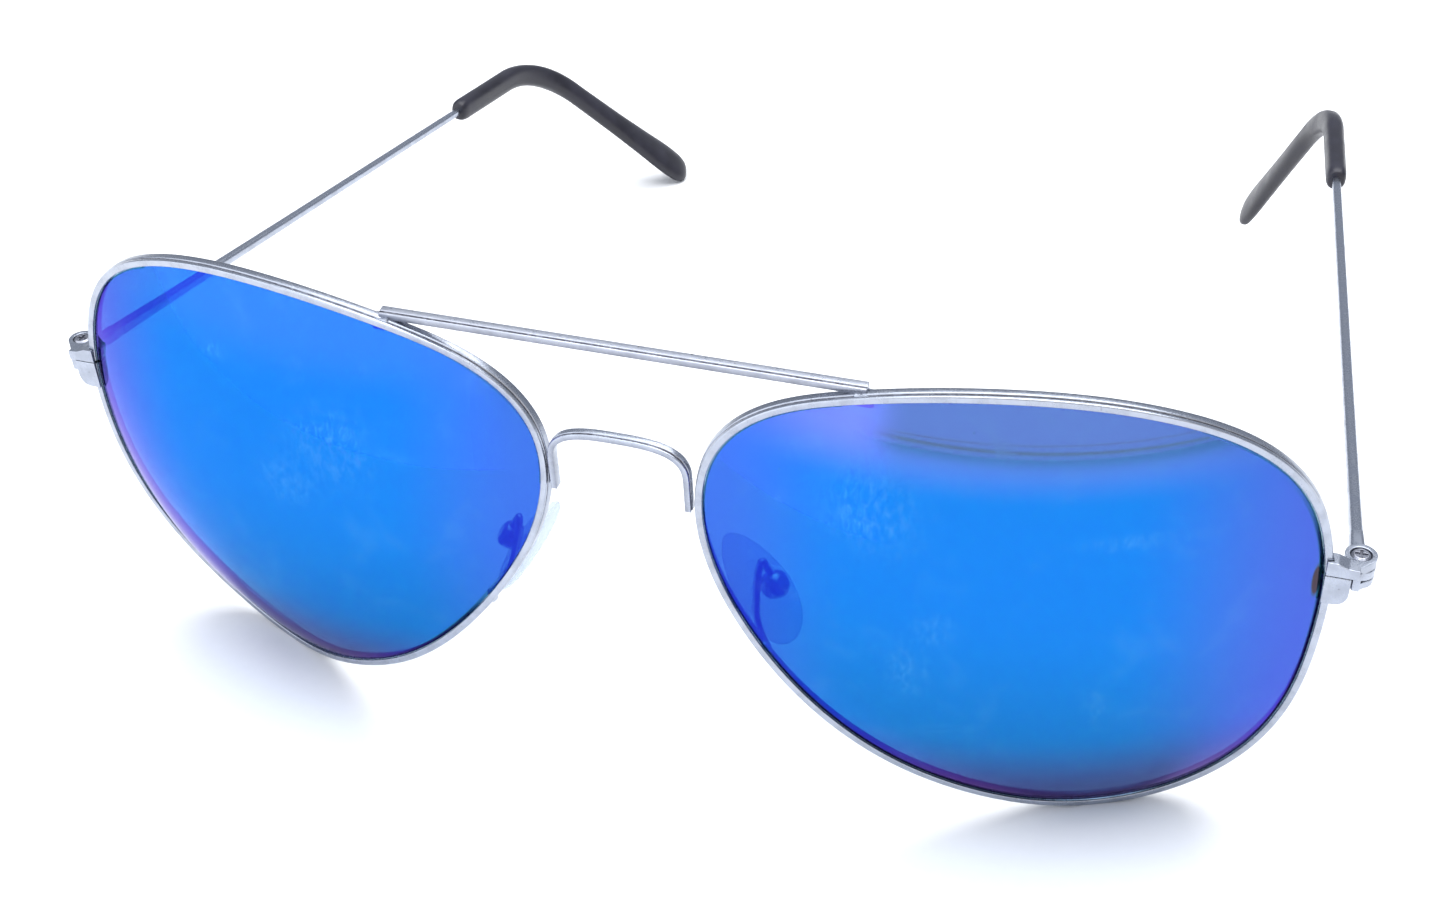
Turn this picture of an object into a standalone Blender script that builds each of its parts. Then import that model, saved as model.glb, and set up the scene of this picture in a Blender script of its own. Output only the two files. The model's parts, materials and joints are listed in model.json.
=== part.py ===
"""Aviator sunglasses with wire rims, a straight brow bar and folding temples.

The front is laid out in its own frame: X to the wearer's left, Y to the back, Z up along the lenses.
An empty named front then leans it forward until the glasses stand on both rims and the lower temple tip.
Each eye has an empty at the middle of its lens, turned by the wrap angle of the front. Each hinge has
an empty on its screw's axis, and each nose pad has one on the screw that it rocks on.
All sizes below are in millimetres and degrees; MM turns them into metres.
"""

from math import atan2, cos, pi, radians, sin, sqrt

import bmesh
import bpy
import numpy as np
from mathutils import Matrix, Vector

MM = 0.001
SIDES = {"left": 1, "right": -1}

# Lens shape: distance from the lens centre to the rim's inner edge every 30 degrees, counter-clockwise
# from the temple side, as a lens tracer lists it.
LENS_RADII = (28.8, 30.8, 28.8, 27.4, 29.6, 32.4, 25.4, 20.6, 20.2, 23.8, 30.6, 30.1)
LENS_CENTRE_X = 38.5
LENS_CURVE_RADIUS = 57.0
WRAP_ANGLE = 10.75
RIM_STEPS = 60

# Rim wire: its section as (outward, backward) from the front inner edge, with the lens groove inside
# and a thin line turned into its outer face.
RIM_SECTION = (
    (0.00, 0.08), (0.00, 0.42), (0.40, 0.75), (0.00, 1.08), (0.00, 1.42), (0.08, 1.50), (0.52, 1.50),
    (0.80, 1.30), (0.82, 0.62), (0.64, 0.48), (0.78, 0.36), (0.78, 0.10), (0.68, 0.00), (0.08, 0.00),
)
RIM_OUTER = 0.82
RIM_DEPTH = 1.50
RIM_CUT_ANGLE = 14.0
RIM_CUT_GAP = 0.36

# Lens: set back in the rim, with a bevelled edge that runs in the groove.
LENS_RECESS = 0.25
LENS_THICKNESS = 1.25
LENS_EDGE = ((-0.08, 0.46), (0.30, 0.75), (-0.08, 1.04))
LENS_EDGE_CLEARANCE = 0.08
LENS_RINGS = (0.86, 0.68, 0.48, 0.26)

# Clearances: between brazed pieces, and in holes that a screw or pin turns in.
BRAZE_GAP = 0.04
RUNNING_GAP = 0.05

# Brow bar
BAR_HALF_LENGTH = 23.9
BAR_Y = 6.8
BAR_Z = 26.82
BAR_SECTION = ((-0.60, -0.36), (0.52, -0.36), (0.60, -0.28), (0.60, 0.30), (0.52, 0.38),
               (-0.18, 0.38), (-0.26, 0.27), (-0.36, 0.27), (-0.44, 0.34), (-0.60, 0.28))
FOOT_SPAN = (22.7, 24.7)
FOOT_Y = (5.7, 7.1)
FOOT_Z = (25.7, 26.75)

# Bridge: two legs and an arch that follows a superellipse.
BRIDGE_LEG_X = 6.88
BRIDGE_FOOT_Z = 10.7
BRIDGE_SPRING_Z = 14.0
BRIDGE_RISE = 3.85
BRIDGE_POWER = 3.0
BRIDGE_Y = (4.1, 4.45)
BRIDGE_SECTION = ((-0.55, -0.30), (0.45, -0.36), (0.55, -0.26), (0.55, 0.26), (0.45, 0.36),
                  (-0.14, 0.36), (-0.22, 0.24), (-0.32, 0.24), (-0.40, 0.34), (-0.55, 0.26))
BRIDGE_ARCH_STEPS = 22

# Hinge: its axis leans back from the plane of the front. Heights are along the axis.
HINGE_AT = (68.3, 16.0, 6.6)
HINGE_LEAN = 4.5
KNUCKLE_R = 1.50
KNUCKLE_TOP = (0.58, 1.60)
KNUCKLE_MIDDLE = (-0.48, 0.48)
KNUCKLE_LOW = (-1.38, -0.58)
KNUCKLE_CLEARANCE = 0.14
HINGE_SCREW_R = 0.52
HINGE_HEAD_R = 0.92
HINGE_HEAD_GAP = 0.08
HINGE_HEAD_BASE = 1.18
HINGE_SCREW_TOP = 1.66

# End piece and closing block, seen from the front: (outward, up) from the hinge axis.
LUG_FRONT = ((-2.9, 0.52), (0.1, 0.52), (0.1, 1.60), (-0.9, 1.66), (-1.9, 2.05), (-2.9, 2.10))
LUG_Y = (-2.70, -1.06)
BLOCK_X = (-2.9, -0.52)
BLOCK_Z = (-2.80, 0.44)
BLOCK_CORNER_R = 1.35
LEAF_X = (-0.40, 0.30)
LEAF_Y = (-2.30, -1.66)

# Rim screw: from below the closing block up into the end piece.
RIM_SCREW_AT = (-1.42, -1.92)
RIM_SCREW_R = 0.40
RIM_SCREW_HEAD_R = 0.60
RIM_SCREW_HEAD = (-2.45, -1.95)
RIM_SCREW_TOP = 1.20

# Temples: a straight wire that runs down and inward, then bends down behind the ear. The pair is a
# little bent with use, so each temple has its own drop, and its end its own roll towards the head.
TEMPLE_YAW = 5.0
TEMPLE_DROP = {"left": 3.8, "right": 7.8}
TEMPLE_ROLL = {"left": 18.0, "right": 38.5}
TEMPLE_OFFSET = -0.10
TEMPLE_ROOT = (1.78, 5.0)
TEMPLE_BEND_START = 97.5
TEMPLE_BEND_RADIUS = 16.5
TEMPLE_BEND_ANGLE = 56.0
TEMPLE_END_LENGTH = 25.0
# Wire: distance along it, half width, half height.
WIRE_SIZES = ((5.05, 0.66, 0.80), (14.0, 0.62, 0.68), (40.0, 0.58, 0.54), (81.0, 0.54, 0.50),
              (82.6, 0.46, 0.46))
CORE_R = 0.46
CORE_END_GAP = 9.0

# Tip sleeve: distance along the wire, half width across the bend, half height in its plane.
TIP_START = 83.0
TIP_SIZES = ((0.0, 0.95, 1.15), (0.45, 1.18, 1.42), (1.4, 1.26, 1.52), (14.0, 1.28, 1.55))
TIP_BEND_HALF = (1.24, 1.62)
TIP_END_SIZES = ((8.0, 1.18, 1.90), (15.0, 1.12, 2.35), (20.5, 1.06, 2.75), (22.9, 0.98, 2.62),
                 (24.3, 0.80, 2.05), (24.9, 0.55, 1.25))
TIP_SIDES = 16
BORE_R = 0.54
BEND_STEPS = 7

# Nose pads: a pivot behind each rim, with the pad on its nose side.
PAD_PIVOT = (14.2, 6.7, -0.3)
PAD_FRONTAL = 34.0
PAD_SPLAY = 16.0
PAD_PITCH = -8.0
PAD_HALF = (3.6, 6.7)
PAD_NARROWING = 0.22
PAD_BACK = -1.30
PAD_THICKNESS = 1.55
PAD_STEPS = 24
PAD_STUB = (0.55, 0.62)
PAD_STUB_TOP = 0.58
BOX_R = 1.42
BOX_Z = (-0.82, 1.18)
BOX_SLOT = (0.75, 1.02)
BOX_SLOT_TOP = 0.80
PAD_SCREW_R = 0.26
PAD_SCREW_HEAD_R = 0.44
PAD_SCREW_REACH = 1.36
PAD_SCREW_SEAT = 1.18
PAD_SCREW_TOP = 1.52
PAD_SCREW_SLOT = 0.08

# Pad arms: a wire that leaves the back of the rim, rises and hooks over to the top of the box.
ARM_R = 0.40
ARM_ROOT_ANGLE = 190.0
ARM_PATH = ((13.3, 3.2, -2.0), (12.95, 4.3, -0.7), (12.75, 5.4, 1.0), (12.8, 6.3, 2.2), (13.05, 6.85, 2.4))


# ---------------------------------------------------------------- small tools

def clear_scene():
    for existing in list(bpy.data.objects):
        bpy.data.objects.remove(existing, do_unlink=True)


def make_material(name, colour, roughness, metallic, alpha=1.0):
    material = bpy.data.materials.new(name)
    material.use_nodes = True
    shader = material.node_tree.nodes["Principled BSDF"]
    shader.inputs["Base Color"].default_value = (*colour, 1.0)
    shader.inputs["Roughness"].default_value = roughness
    shader.inputs["Metallic"].default_value = metallic
    shader.inputs["Alpha"].default_value = alpha
    material.diffuse_color = (*colour, alpha)
    return material


def make_empty(name, location, rotation, parent=None):
    """Location in millimetres, rotation as a 3x3 matrix."""
    empty = bpy.data.objects.new(name, None)
    empty.empty_display_size = 3 * MM
    bpy.context.scene.collection.objects.link(empty)
    empty.parent = parent
    empty.matrix_basis = Matrix.Translation(Vector(location) * MM) @ rotation.to_4x4()
    return empty


def make_object(name, shape, parent, material=None, smooth=32.0):
    """Finish a bmesh drawn in millimetres as an object under its parent."""
    bmesh.ops.recalc_face_normals(shape, faces=shape.faces)
    bmesh.ops.scale(shape, vec=(MM, MM, MM), verts=shape.verts)
    mesh = bpy.data.meshes.new(name)
    shape.to_mesh(mesh)
    shape.free()
    mesh.shade_smooth()
    mesh.set_sharp_from_angle(angle=radians(smooth))
    thing = bpy.data.objects.new(name, mesh)
    bpy.context.scene.collection.objects.link(thing)
    thing.parent = parent
    if material:
        mesh.materials.append(material)
    return thing


def make_helper(name, shape, parent):
    """A solid that only cuts or joins another one."""
    helper = make_object(name, shape, parent)
    helper.hide_render = True
    helper.display_type = "WIRE"
    return helper


def combine(thing, helper, operation):
    step = thing.modifiers.new(f"{operation.lower()} {helper.name}", "BOOLEAN")
    step.operation = operation
    step.object = helper
    step.solver = "EXACT"


def cut(thing, name, shape, parent):
    combine(thing, make_helper(name, shape, parent), "DIFFERENCE")


def join(thing, name, shape, parent):
    combine(thing, make_helper(name, shape, parent), "UNION")


def loft(rings, closed=False):
    """Join rings of points with equal counts; cap both ends unless the loft is closed."""
    shape = bmesh.new()
    loops = [[shape.verts.new(point) for point in ring] for ring in rings]
    pairs = list(zip(loops, loops[1:]))
    if closed:
        pairs.append((loops[-1], loops[0]))
    for lower, upper in pairs:
        for i in range(len(lower)):
            j = (i + 1) % len(lower)
            shape.faces.new((lower[i], lower[j], upper[j], upper[i]))
    if not closed:
        shape.faces.new(loops[0])
        shape.faces.new(loops[-1])
    return shape


def prism(outline, low, high, axes="xyz", side=1):
    """Extrude an outline between two heights. axes names the outline's two axes, then the height's."""
    order = [axes.index(name) for name in "xyz"]
    rings = []
    for height in (low, high):
        points = [(a, b, height) for a, b in outline]
        rings.append([Vector((p[order[0]] * side, p[order[1]], p[order[2]])) for p in points])
    return loft(rings)


def disc(radius, low, high, centre=(0.0, 0.0), steps=24, axes="xyz", side=1):
    return prism(circle(radius, steps, centre), low, high, axes, side)


def rectangle(span_a, span_b):
    return ((span_a[0], span_b[0]), (span_a[1], span_b[0]), (span_a[1], span_b[1]), (span_a[0], span_b[1]))


def arc(centre, radius, start, end, steps):
    angles = [radians(start + (end - start) * i / steps) for i in range(steps + 1)]
    return [(centre[0] + radius * cos(a), centre[1] + radius * sin(a)) for a in angles]


def circle(radius, steps, centre=(0.0, 0.0)):
    return arc(centre, radius, 0, 360 - 360 / steps, steps - 1)


def rounded(half_width, half_height, sides, power=2.5):
    """A rounded rectangle as a superellipse."""
    points = []
    for i in range(sides):
        turn = 2 * pi * (i + 0.5) / sides
        across, along = cos(turn), sin(turn)
        x = half_width * abs(across) ** (2 / power) * (1 if across > 0 else -1)
        y = half_height * abs(along) ** (2 / power) * (1 if along > 0 else -1)
        points.append((x, y))
    return points


def turned(profile, steps, axes="xyz", side=1):
    """A solid of revolution from (radius, height) pairs."""
    rings = []
    order = [axes.index(name) for name in "xyz"]
    for radius, height in profile:
        points = [(x, y, height) for x, y in circle(radius, steps)]
        rings.append([Vector((p[order[0]] * side, p[order[1]], p[order[2]])) for p in points])
    return loft(rings)


# ---------------------------------------------------------------- lens outline

def lens_spline(angles):
    """Radius of the rim's inner edge at each angle, by a periodic cubic spline."""
    knots = np.array(LENS_RADII)
    count = len(knots)
    step = 2 * pi / count
    bend = 4 * np.eye(count) + np.roll(np.eye(count), 1, axis=1) + np.roll(np.eye(count), -1, axis=1)
    change = np.roll(knots, -1) - 2 * knots + np.roll(knots, 1)
    second = np.linalg.solve(bend, 6 * change / step**2)
    place = np.mod(np.array(angles), 2 * pi) / step
    first = np.floor(place).astype(int) % count
    after = (first + 1) % count
    t = place - np.floor(place)
    s = 1 - t
    curved = ((s**3 - s) * second[first] + (t**3 - t) * second[after]) * step**2 / 6
    return s * knots[first] + t * knots[after] + curved


def sag(u, v):
    """Depth of the lens's front sphere behind its middle."""
    across = u * u + v * v
    return across / (LENS_CURVE_RADIUS + sqrt(LENS_CURVE_RADIUS**2 - across))


def rim_angles():
    half_gap = RIM_CUT_GAP / 2 / LENS_RADII[0]
    start = radians(RIM_CUT_ANGLE) + half_gap
    return np.linspace(start, start + 2 * pi - 2 * half_gap, RIM_STEPS + 1)


def eye_point(angle, outward, backward, side):
    """A point of the rim's section, in its eye's frame."""
    radius = float(lens_spline([angle])[0])
    u, v = radius * cos(angle), radius * sin(angle)
    depth = sag(u, v) + backward
    return Vector((side * (radius + outward) * cos(angle), depth, (radius + outward) * sin(angle)))


def front_point(local, side):
    """The same point in the frame of the front."""
    turn = Matrix.Rotation(radians(side * WRAP_ANGLE), 3, "Z")
    return Vector((side * LENS_CENTRE_X, 0, 0)) + turn @ local


# ---------------------------------------------------------------- front

def build_rim(side_name, eye, material):
    side = SIDES[side_name]
    rings = [[eye_point(a, out, back, side) for out, back in RIM_SECTION] for a in rim_angles()]
    return make_object(f"rim_{side_name}", loft(rings), eye, material)


def build_rim_cutter(side_name, eye):
    """The space that the rim needs, for pieces brazed to it."""
    side = SIDES[side_name]
    inner, outer = -0.9, RIM_OUTER + BRAZE_GAP
    front, back = -BRAZE_GAP, RIM_DEPTH + BRAZE_GAP
    section = ((inner, front), (inner, back), (0.55, back), (outer, back - 0.24), (outer, front))
    angles = np.linspace(0, 2 * pi, RIM_STEPS, endpoint=False)
    rings = [[eye_point(a, out, depth, side) for out, depth in section] for a in angles]
    return make_helper(f"rim_space_{side_name}", loft(rings, closed=True), eye)


def build_lens(side_name, eye, material):
    side = SIDES[side_name]
    angles = rim_angles()
    shape = bmesh.new()

    def add_ring(make_point):
        return [shape.verts.new(make_point(a)) for a in angles]

    def surface_point(angle, scale, depth):
        radius = (float(lens_spline([angle])[0]) - LENS_EDGE_CLEARANCE) * scale
        u, v = radius * cos(angle), radius * sin(angle)
        return Vector((side * u, sag(u, v) + depth, v))

    front_depth = LENS_RECESS
    back_depth = LENS_RECESS + LENS_THICKNESS
    front_rings = [add_ring(lambda a, s=s: surface_point(a, s, front_depth)) for s in (1.0,) + LENS_RINGS]
    back_rings = [add_ring(lambda a, s=s: surface_point(a, s, back_depth)) for s in (1.0,) + LENS_RINGS]
    edge_rings = [add_ring(lambda a, o=o, d=d: eye_point(a, o, d, side)) for o, d in LENS_EDGE]
    chain = front_rings[::-1] + edge_rings + back_rings
    for lower, upper in zip(chain, chain[1:]):
        for i in range(len(angles)):
            j = (i + 1) % len(angles)
            shape.faces.new((lower[i], lower[j], upper[j], upper[i]))
    for ring, depth in ((chain[0], front_depth), (chain[-1], back_depth)):
        centre = shape.verts.new((0, depth, 0))
        for i in range(len(angles)):
            shape.faces.new((ring[i], ring[(i + 1) % len(angles)], centre))
    return make_object(f"lens_{side_name}", shape, eye, material)


def build_brow_bar(front, rim_spaces, material):
    rings = [[Vector((x, BAR_Y + y, BAR_Z + z)) for y, z in BAR_SECTION]
             for x in (-BAR_HALF_LENGTH, BAR_HALF_LENGTH)]
    bar = make_object("brow_bar", loft(rings), front, material)
    for side_name, side in SIDES.items():
        outline = ((FOOT_SPAN[0], FOOT_Z[0]), (FOOT_SPAN[1], FOOT_Z[0]), (FOOT_SPAN[1], FOOT_Z[1] - 0.25),
                   (FOOT_SPAN[1] - 0.3, FOOT_Z[1]), (FOOT_SPAN[0], FOOT_Z[1]))
        join(bar, f"bar_foot_{side_name}", prism(outline, *FOOT_Y, axes="xzy", side=side), front)
    for rim_space in rim_spaces.values():
        combine(bar, rim_space, "DIFFERENCE")
    return bar


def bridge_path():
    """Middle line of the bridge wire from one foot to the other, as (x, z)."""
    half = [(BRIDGE_LEG_X, BRIDGE_FOOT_Z), (BRIDGE_LEG_X, BRIDGE_SPRING_Z - 0.6)]
    quarter = BRIDGE_ARCH_STEPS // 2
    for i in range(quarter):
        turn = pi / 2 * i / quarter
        x = BRIDGE_LEG_X * cos(turn) ** (2 / BRIDGE_POWER)
        z = BRIDGE_SPRING_Z + BRIDGE_RISE * sin(turn) ** (2 / BRIDGE_POWER)
        half.append((x, z))
    top = [(0.0, BRIDGE_SPRING_Z + BRIDGE_RISE)]
    return half + top + [(-x, z) for x, z in reversed(half)]


def build_bridge(front, rim_spaces, material):
    path = bridge_path()
    rings = []
    for i, (x, z) in enumerate(path):
        before, after = path[max(i - 1, 0)], path[min(i + 1, len(path) - 1)]
        run = Vector((after[0] - before[0], after[1] - before[1])).normalized()
        rise = (z - BRIDGE_FOOT_Z) / (BRIDGE_SPRING_Z + BRIDGE_RISE - BRIDGE_FOOT_Z)
        y = BRIDGE_Y[0] + (BRIDGE_Y[1] - BRIDGE_Y[0]) * rise
        rings.append([Vector((x + run[1] * up, y + back, z - run[0] * up)) for back, up in BRIDGE_SECTION])
    bridge = make_object("bridge", loft(rings), front, material)
    for rim_space in rim_spaces.values():
        combine(bridge, rim_space, "DIFFERENCE")
    return bridge


# ---------------------------------------------------------------- hinges and end pieces

def knuckle_outline(neck, start, end):
    """A knuckle's round with a neck that leaves it towards the front."""
    return list(neck) + arc((0, 0), KNUCKLE_R, start, end, 18)


def build_end_piece(side_name, hinge, rim_space, material):
    side = SIDES[side_name]
    lug = prism(LUG_FRONT, *LUG_Y, axes="xzy", side=side)
    end_piece = make_object(f"end_piece_{side_name}", lug, hinge, material)

    top_neck = ((-1.72, -1.10), (-1.72, -2.62), (-0.30, -2.62))
    top = prism(knuckle_outline(top_neck, -38, 208), *KNUCKLE_TOP, side=side)
    join(end_piece, f"top_knuckle_{side_name}", top, hinge)

    leaf = prism(rectangle(LEAF_X, LEAF_Y), KNUCKLE_LOW[0] + 0.3, KNUCKLE_TOP[0] + 0.4, side=side)
    join(end_piece, f"leaf_{side_name}", leaf, hinge)

    low_neck = ((LEAF_X[0] + 0.02, LEAF_Y[0] + 0.5), (LEAF_X[1] - 0.02, LEAF_Y[0] + 0.5))
    low = prism(knuckle_outline(low_neck, -62, 242), *KNUCKLE_LOW, side=side)
    join(end_piece, f"low_knuckle_{side_name}", low, hinge)

    hole_r = HINGE_SCREW_R + RUNNING_GAP
    hole = disc(hole_r, KNUCKLE_LOW[0] - 1, KNUCKLE_TOP[1] + 1, side=side)
    cut(end_piece, f"hinge_hole_{side_name}", hole, hinge)
    seat = disc(HINGE_HEAD_R + HINGE_HEAD_GAP, HINGE_HEAD_BASE - RUNNING_GAP, KNUCKLE_TOP[1] + 1, side=side)
    cut(end_piece, f"head_seat_{side_name}", seat, hinge)
    thread = disc(RIM_SCREW_R + RUNNING_GAP, -0.5, RIM_SCREW_TOP + 0.15, RIM_SCREW_AT, 16, side=side)
    cut(end_piece, f"rim_screw_thread_{side_name}", thread, hinge)
    combine(end_piece, rim_space, "DIFFERENCE")
    return end_piece


def build_closing_block(side_name, hinge, rim_space, material):
    side = SIDES[side_name]
    corner = (BLOCK_X[1] - BLOCK_CORNER_R, BLOCK_Z[0] + BLOCK_CORNER_R)
    outline = [(BLOCK_X[0], BLOCK_Z[1]), (BLOCK_X[0], BLOCK_Z[0])]
    outline += arc(corner, BLOCK_CORNER_R, -90, 0, 8)
    outline += [(BLOCK_X[1], BLOCK_Z[1])]
    block = make_object(f"closing_block_{side_name}", prism(outline, *LUG_Y, axes="xzy", side=side),
                        hinge, material)
    cut(block, f"knuckle_space_{side_name}", disc(KNUCKLE_R + KNUCKLE_CLEARANCE, -4, 2, side=side), hinge)
    shank = disc(RIM_SCREW_R + RUNNING_GAP, -4, 2, RIM_SCREW_AT, 16, side=side)
    cut(block, f"rim_screw_hole_{side_name}", shank, hinge)
    seat_top = RIM_SCREW_HEAD[1] + RUNNING_GAP
    head = disc(RIM_SCREW_HEAD_R + RUNNING_GAP, -4, seat_top, RIM_SCREW_AT, 16, side=side)
    cut(block, f"rim_screw_seat_{side_name}", head, hinge)
    combine(block, rim_space, "DIFFERENCE")
    return block


def cross_cutter(half_length, half_width, low, high):
    outline = []
    for quarter in range(4):
        turn = quarter * pi / 2
        for x, y in ((half_width, -half_width), (half_length, -half_width), (half_length, half_width)):
            outline.append((x * cos(turn) - y * sin(turn), x * sin(turn) + y * cos(turn)))
    return prism(outline, low, high)


def build_hinge_screw(side_name, hinge, material):
    profile = ((HINGE_SCREW_R - 0.1, KNUCKLE_LOW[0] + 0.05), (HINGE_SCREW_R, KNUCKLE_LOW[0] + 0.15),
               (HINGE_SCREW_R, HINGE_HEAD_BASE), (HINGE_HEAD_R, HINGE_HEAD_BASE),
               (HINGE_HEAD_R, HINGE_SCREW_TOP - 0.16), (HINGE_HEAD_R - 0.2, HINGE_SCREW_TOP))
    screw = make_object(f"hinge_screw_{side_name}", turned(profile, 24), hinge, material)
    recess = cross_cutter(0.58, 0.13, HINGE_SCREW_TOP - 0.30, HINGE_SCREW_TOP + 1)
    cut(screw, f"cross_recess_{side_name}", recess, hinge)
    return screw


def build_rim_screw(side_name, hinge, material):
    side = SIDES[side_name]
    bottom, shoulder = RIM_SCREW_HEAD
    profile = ((RIM_SCREW_HEAD_R, bottom), (RIM_SCREW_HEAD_R, shoulder), (RIM_SCREW_R, shoulder),
               (RIM_SCREW_R, RIM_SCREW_TOP - 0.1), (RIM_SCREW_R - 0.1, RIM_SCREW_TOP))
    shape = turned(profile, 16)
    bmesh.ops.translate(shape, vec=(side * RIM_SCREW_AT[0], RIM_SCREW_AT[1], 0), verts=shape.verts)
    screw = make_object(f"rim_screw_{side_name}", shape, hinge, material)
    middle_x, middle_y = side * RIM_SCREW_AT[0], RIM_SCREW_AT[1]
    slot = rectangle((middle_x - 0.1, middle_x + 0.1), (middle_y - 1, middle_y + 1))
    cut(screw, f"screw_slot_{side_name}", prism(slot, bottom - 1, bottom + 0.22), hinge)
    return screw


# ---------------------------------------------------------------- temples

def temple_frames(side_name):
    """The temple's middle line, drawn for the +X side: place, direction and inner side at a distance."""
    drop, roll = radians(TEMPLE_DROP[side_name]), radians(TEMPLE_ROLL[side_name])
    ahead = Vector((0, cos(drop), -sin(drop)))
    up = Vector((0, sin(drop), cos(drop)))
    inward = Vector((-1, 0, 0))
    low = -up * cos(roll) + inward * sin(roll)
    start = Vector((TEMPLE_OFFSET, 0, 0))
    bend_at = start + ahead * TEMPLE_BEND_START
    centre = bend_at + low * TEMPLE_BEND_RADIUS
    bend_length = TEMPLE_BEND_RADIUS * radians(TEMPLE_BEND_ANGLE)

    def at(distance):
        past = distance - TEMPLE_BEND_START
        if past <= 0:
            return start + ahead * distance, ahead, low
        turn = min(past, bend_length) / TEMPLE_BEND_RADIUS
        heading = ahead * cos(turn) + low * sin(turn)
        inner = -ahead * sin(turn) + low * cos(turn)
        place = centre - inner * TEMPLE_BEND_RADIUS
        return place + heading * max(past - bend_length, 0), heading, inner

    return at, bend_length


def temple_ring(at, distance, outline, side, roll_in=1.0):
    """A section across the temple. roll_in turns it from level, 0, into the plane of the bend, 1."""
    place, heading, inner = at(distance)
    level_up = (Vector((0, 0, 1)) - heading * heading.z).normalized()
    tall = (level_up * (1 - roll_in) - inner * roll_in).normalized()
    across = heading.cross(tall)
    points = [place + across * x + tall * y for x, y in outline]
    return [Vector((side * p.x, p.y, p.z)) for p in points]


def build_temple_hinge(side_name, arm, material):
    side = SIDES[side_name]
    at, _ = temple_frames(side_name)
    start, end = TEMPLE_ROOT
    width, height = WIRE_SIZES[0][1], WIRE_SIZES[0][2]
    sizes = ((start, width + 0.12, 0.62), (start + 0.5, width + 0.10, 0.74),
             (end - 1.0, width + 0.04, height), (end, width, height))
    rings = [temple_ring(at, d, rounded(w, h, 12, 4.0), side, 0.0) for d, w, h in sizes]
    root = make_object(f"temple_hinge_{side_name}", loft(rings), arm, material)
    neck = rectangle((TEMPLE_OFFSET - width, TEMPLE_OFFSET + width), (0.33, start + 0.35))
    neck_solid = prism(neck, KNUCKLE_MIDDLE[0] + 0.03, KNUCKLE_MIDDLE[1] - 0.03, side=side)
    join(root, f"root_neck_{side_name}", neck_solid, arm)
    join(root, f"knuckle_{side_name}", disc(KNUCKLE_R, *KNUCKLE_MIDDLE, steps=28, side=side), arm)
    cut(root, f"knuckle_hole_{side_name}", disc(HINGE_SCREW_R + RUNNING_GAP, -2, 2, side=side), arm)
    return root


def build_temple_wire(side_name, arm, material):
    side = SIDES[side_name]
    at, bend_length = temple_frames(side_name)
    rings = [temple_ring(at, d, rounded(w, h, 12, 3.0), side, 0.0) for d, w, h in WIRE_SIZES]
    total = TEMPLE_BEND_START + bend_length + TEMPLE_END_LENGTH
    stations = [TEMPLE_BEND_START]
    stations += [TEMPLE_BEND_START + bend_length * (i + 1) / BEND_STEPS for i in range(BEND_STEPS)]
    stations.append(total - CORE_END_GAP)
    rings += [temple_ring(at, d, rounded(CORE_R, CORE_R, 12, 2.0), side, 0.0) for d in stations]
    return make_object(f"temple_{side_name}", loft(rings), arm, material, smooth=50)


def build_temple_tip(side_name, arm, material):
    side = SIDES[side_name]
    at, bend_length = temple_frames(side_name)
    bend_end = TEMPLE_BEND_START + bend_length
    outer = [temple_ring(at, TIP_START + d, rounded(w, h, TIP_SIDES), side, 0.0) for d, w, h in TIP_SIZES]
    for i in range(BEND_STEPS):
        share = (i + 1) / BEND_STEPS
        outline = rounded(*TIP_BEND_HALF, TIP_SIDES)
        outer.append(temple_ring(at, TEMPLE_BEND_START + bend_length * share, outline, side, share))
    outer += [temple_ring(at, bend_end + d, rounded(w, h, TIP_SIDES), side) for d, w, h in TIP_END_SIZES]
    tip = make_object(f"temple_tip_{side_name}", loft(outer), arm, material, smooth=50)

    bore_steps = [TIP_START - 2.0, TEMPLE_BEND_START]
    bore_steps += [TEMPLE_BEND_START + bend_length * (i + 1) / BEND_STEPS for i in range(BEND_STEPS)]
    bore_steps.append(bend_end + TEMPLE_END_LENGTH - CORE_END_GAP + 0.3)
    bore = [temple_ring(at, d, rounded(BORE_R, BORE_R, 12, 2.0), side, 0.0) for d in bore_steps]
    cut(tip, f"tip_bore_{side_name}", loft(bore), arm)
    return tip


# ---------------------------------------------------------------- nose pads

def pad_rotation(side):
    """Pad frame: Z away from the nose, Y up along the pad."""
    turn = (Matrix.Rotation(radians(PAD_PITCH), 3, "X") @ Matrix.Rotation(radians(-PAD_FRONTAL), 3, "Y")
            @ Matrix.Rotation(radians(-PAD_SPLAY), 3, "Z"))
    away, long_axis = turn @ Vector((1, 0, 0)), turn @ Vector((0, 0, 1))
    away.x *= side
    long_axis.x *= side
    across = long_axis.cross(away)
    return Matrix((across, long_axis, away)).transposed()


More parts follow.
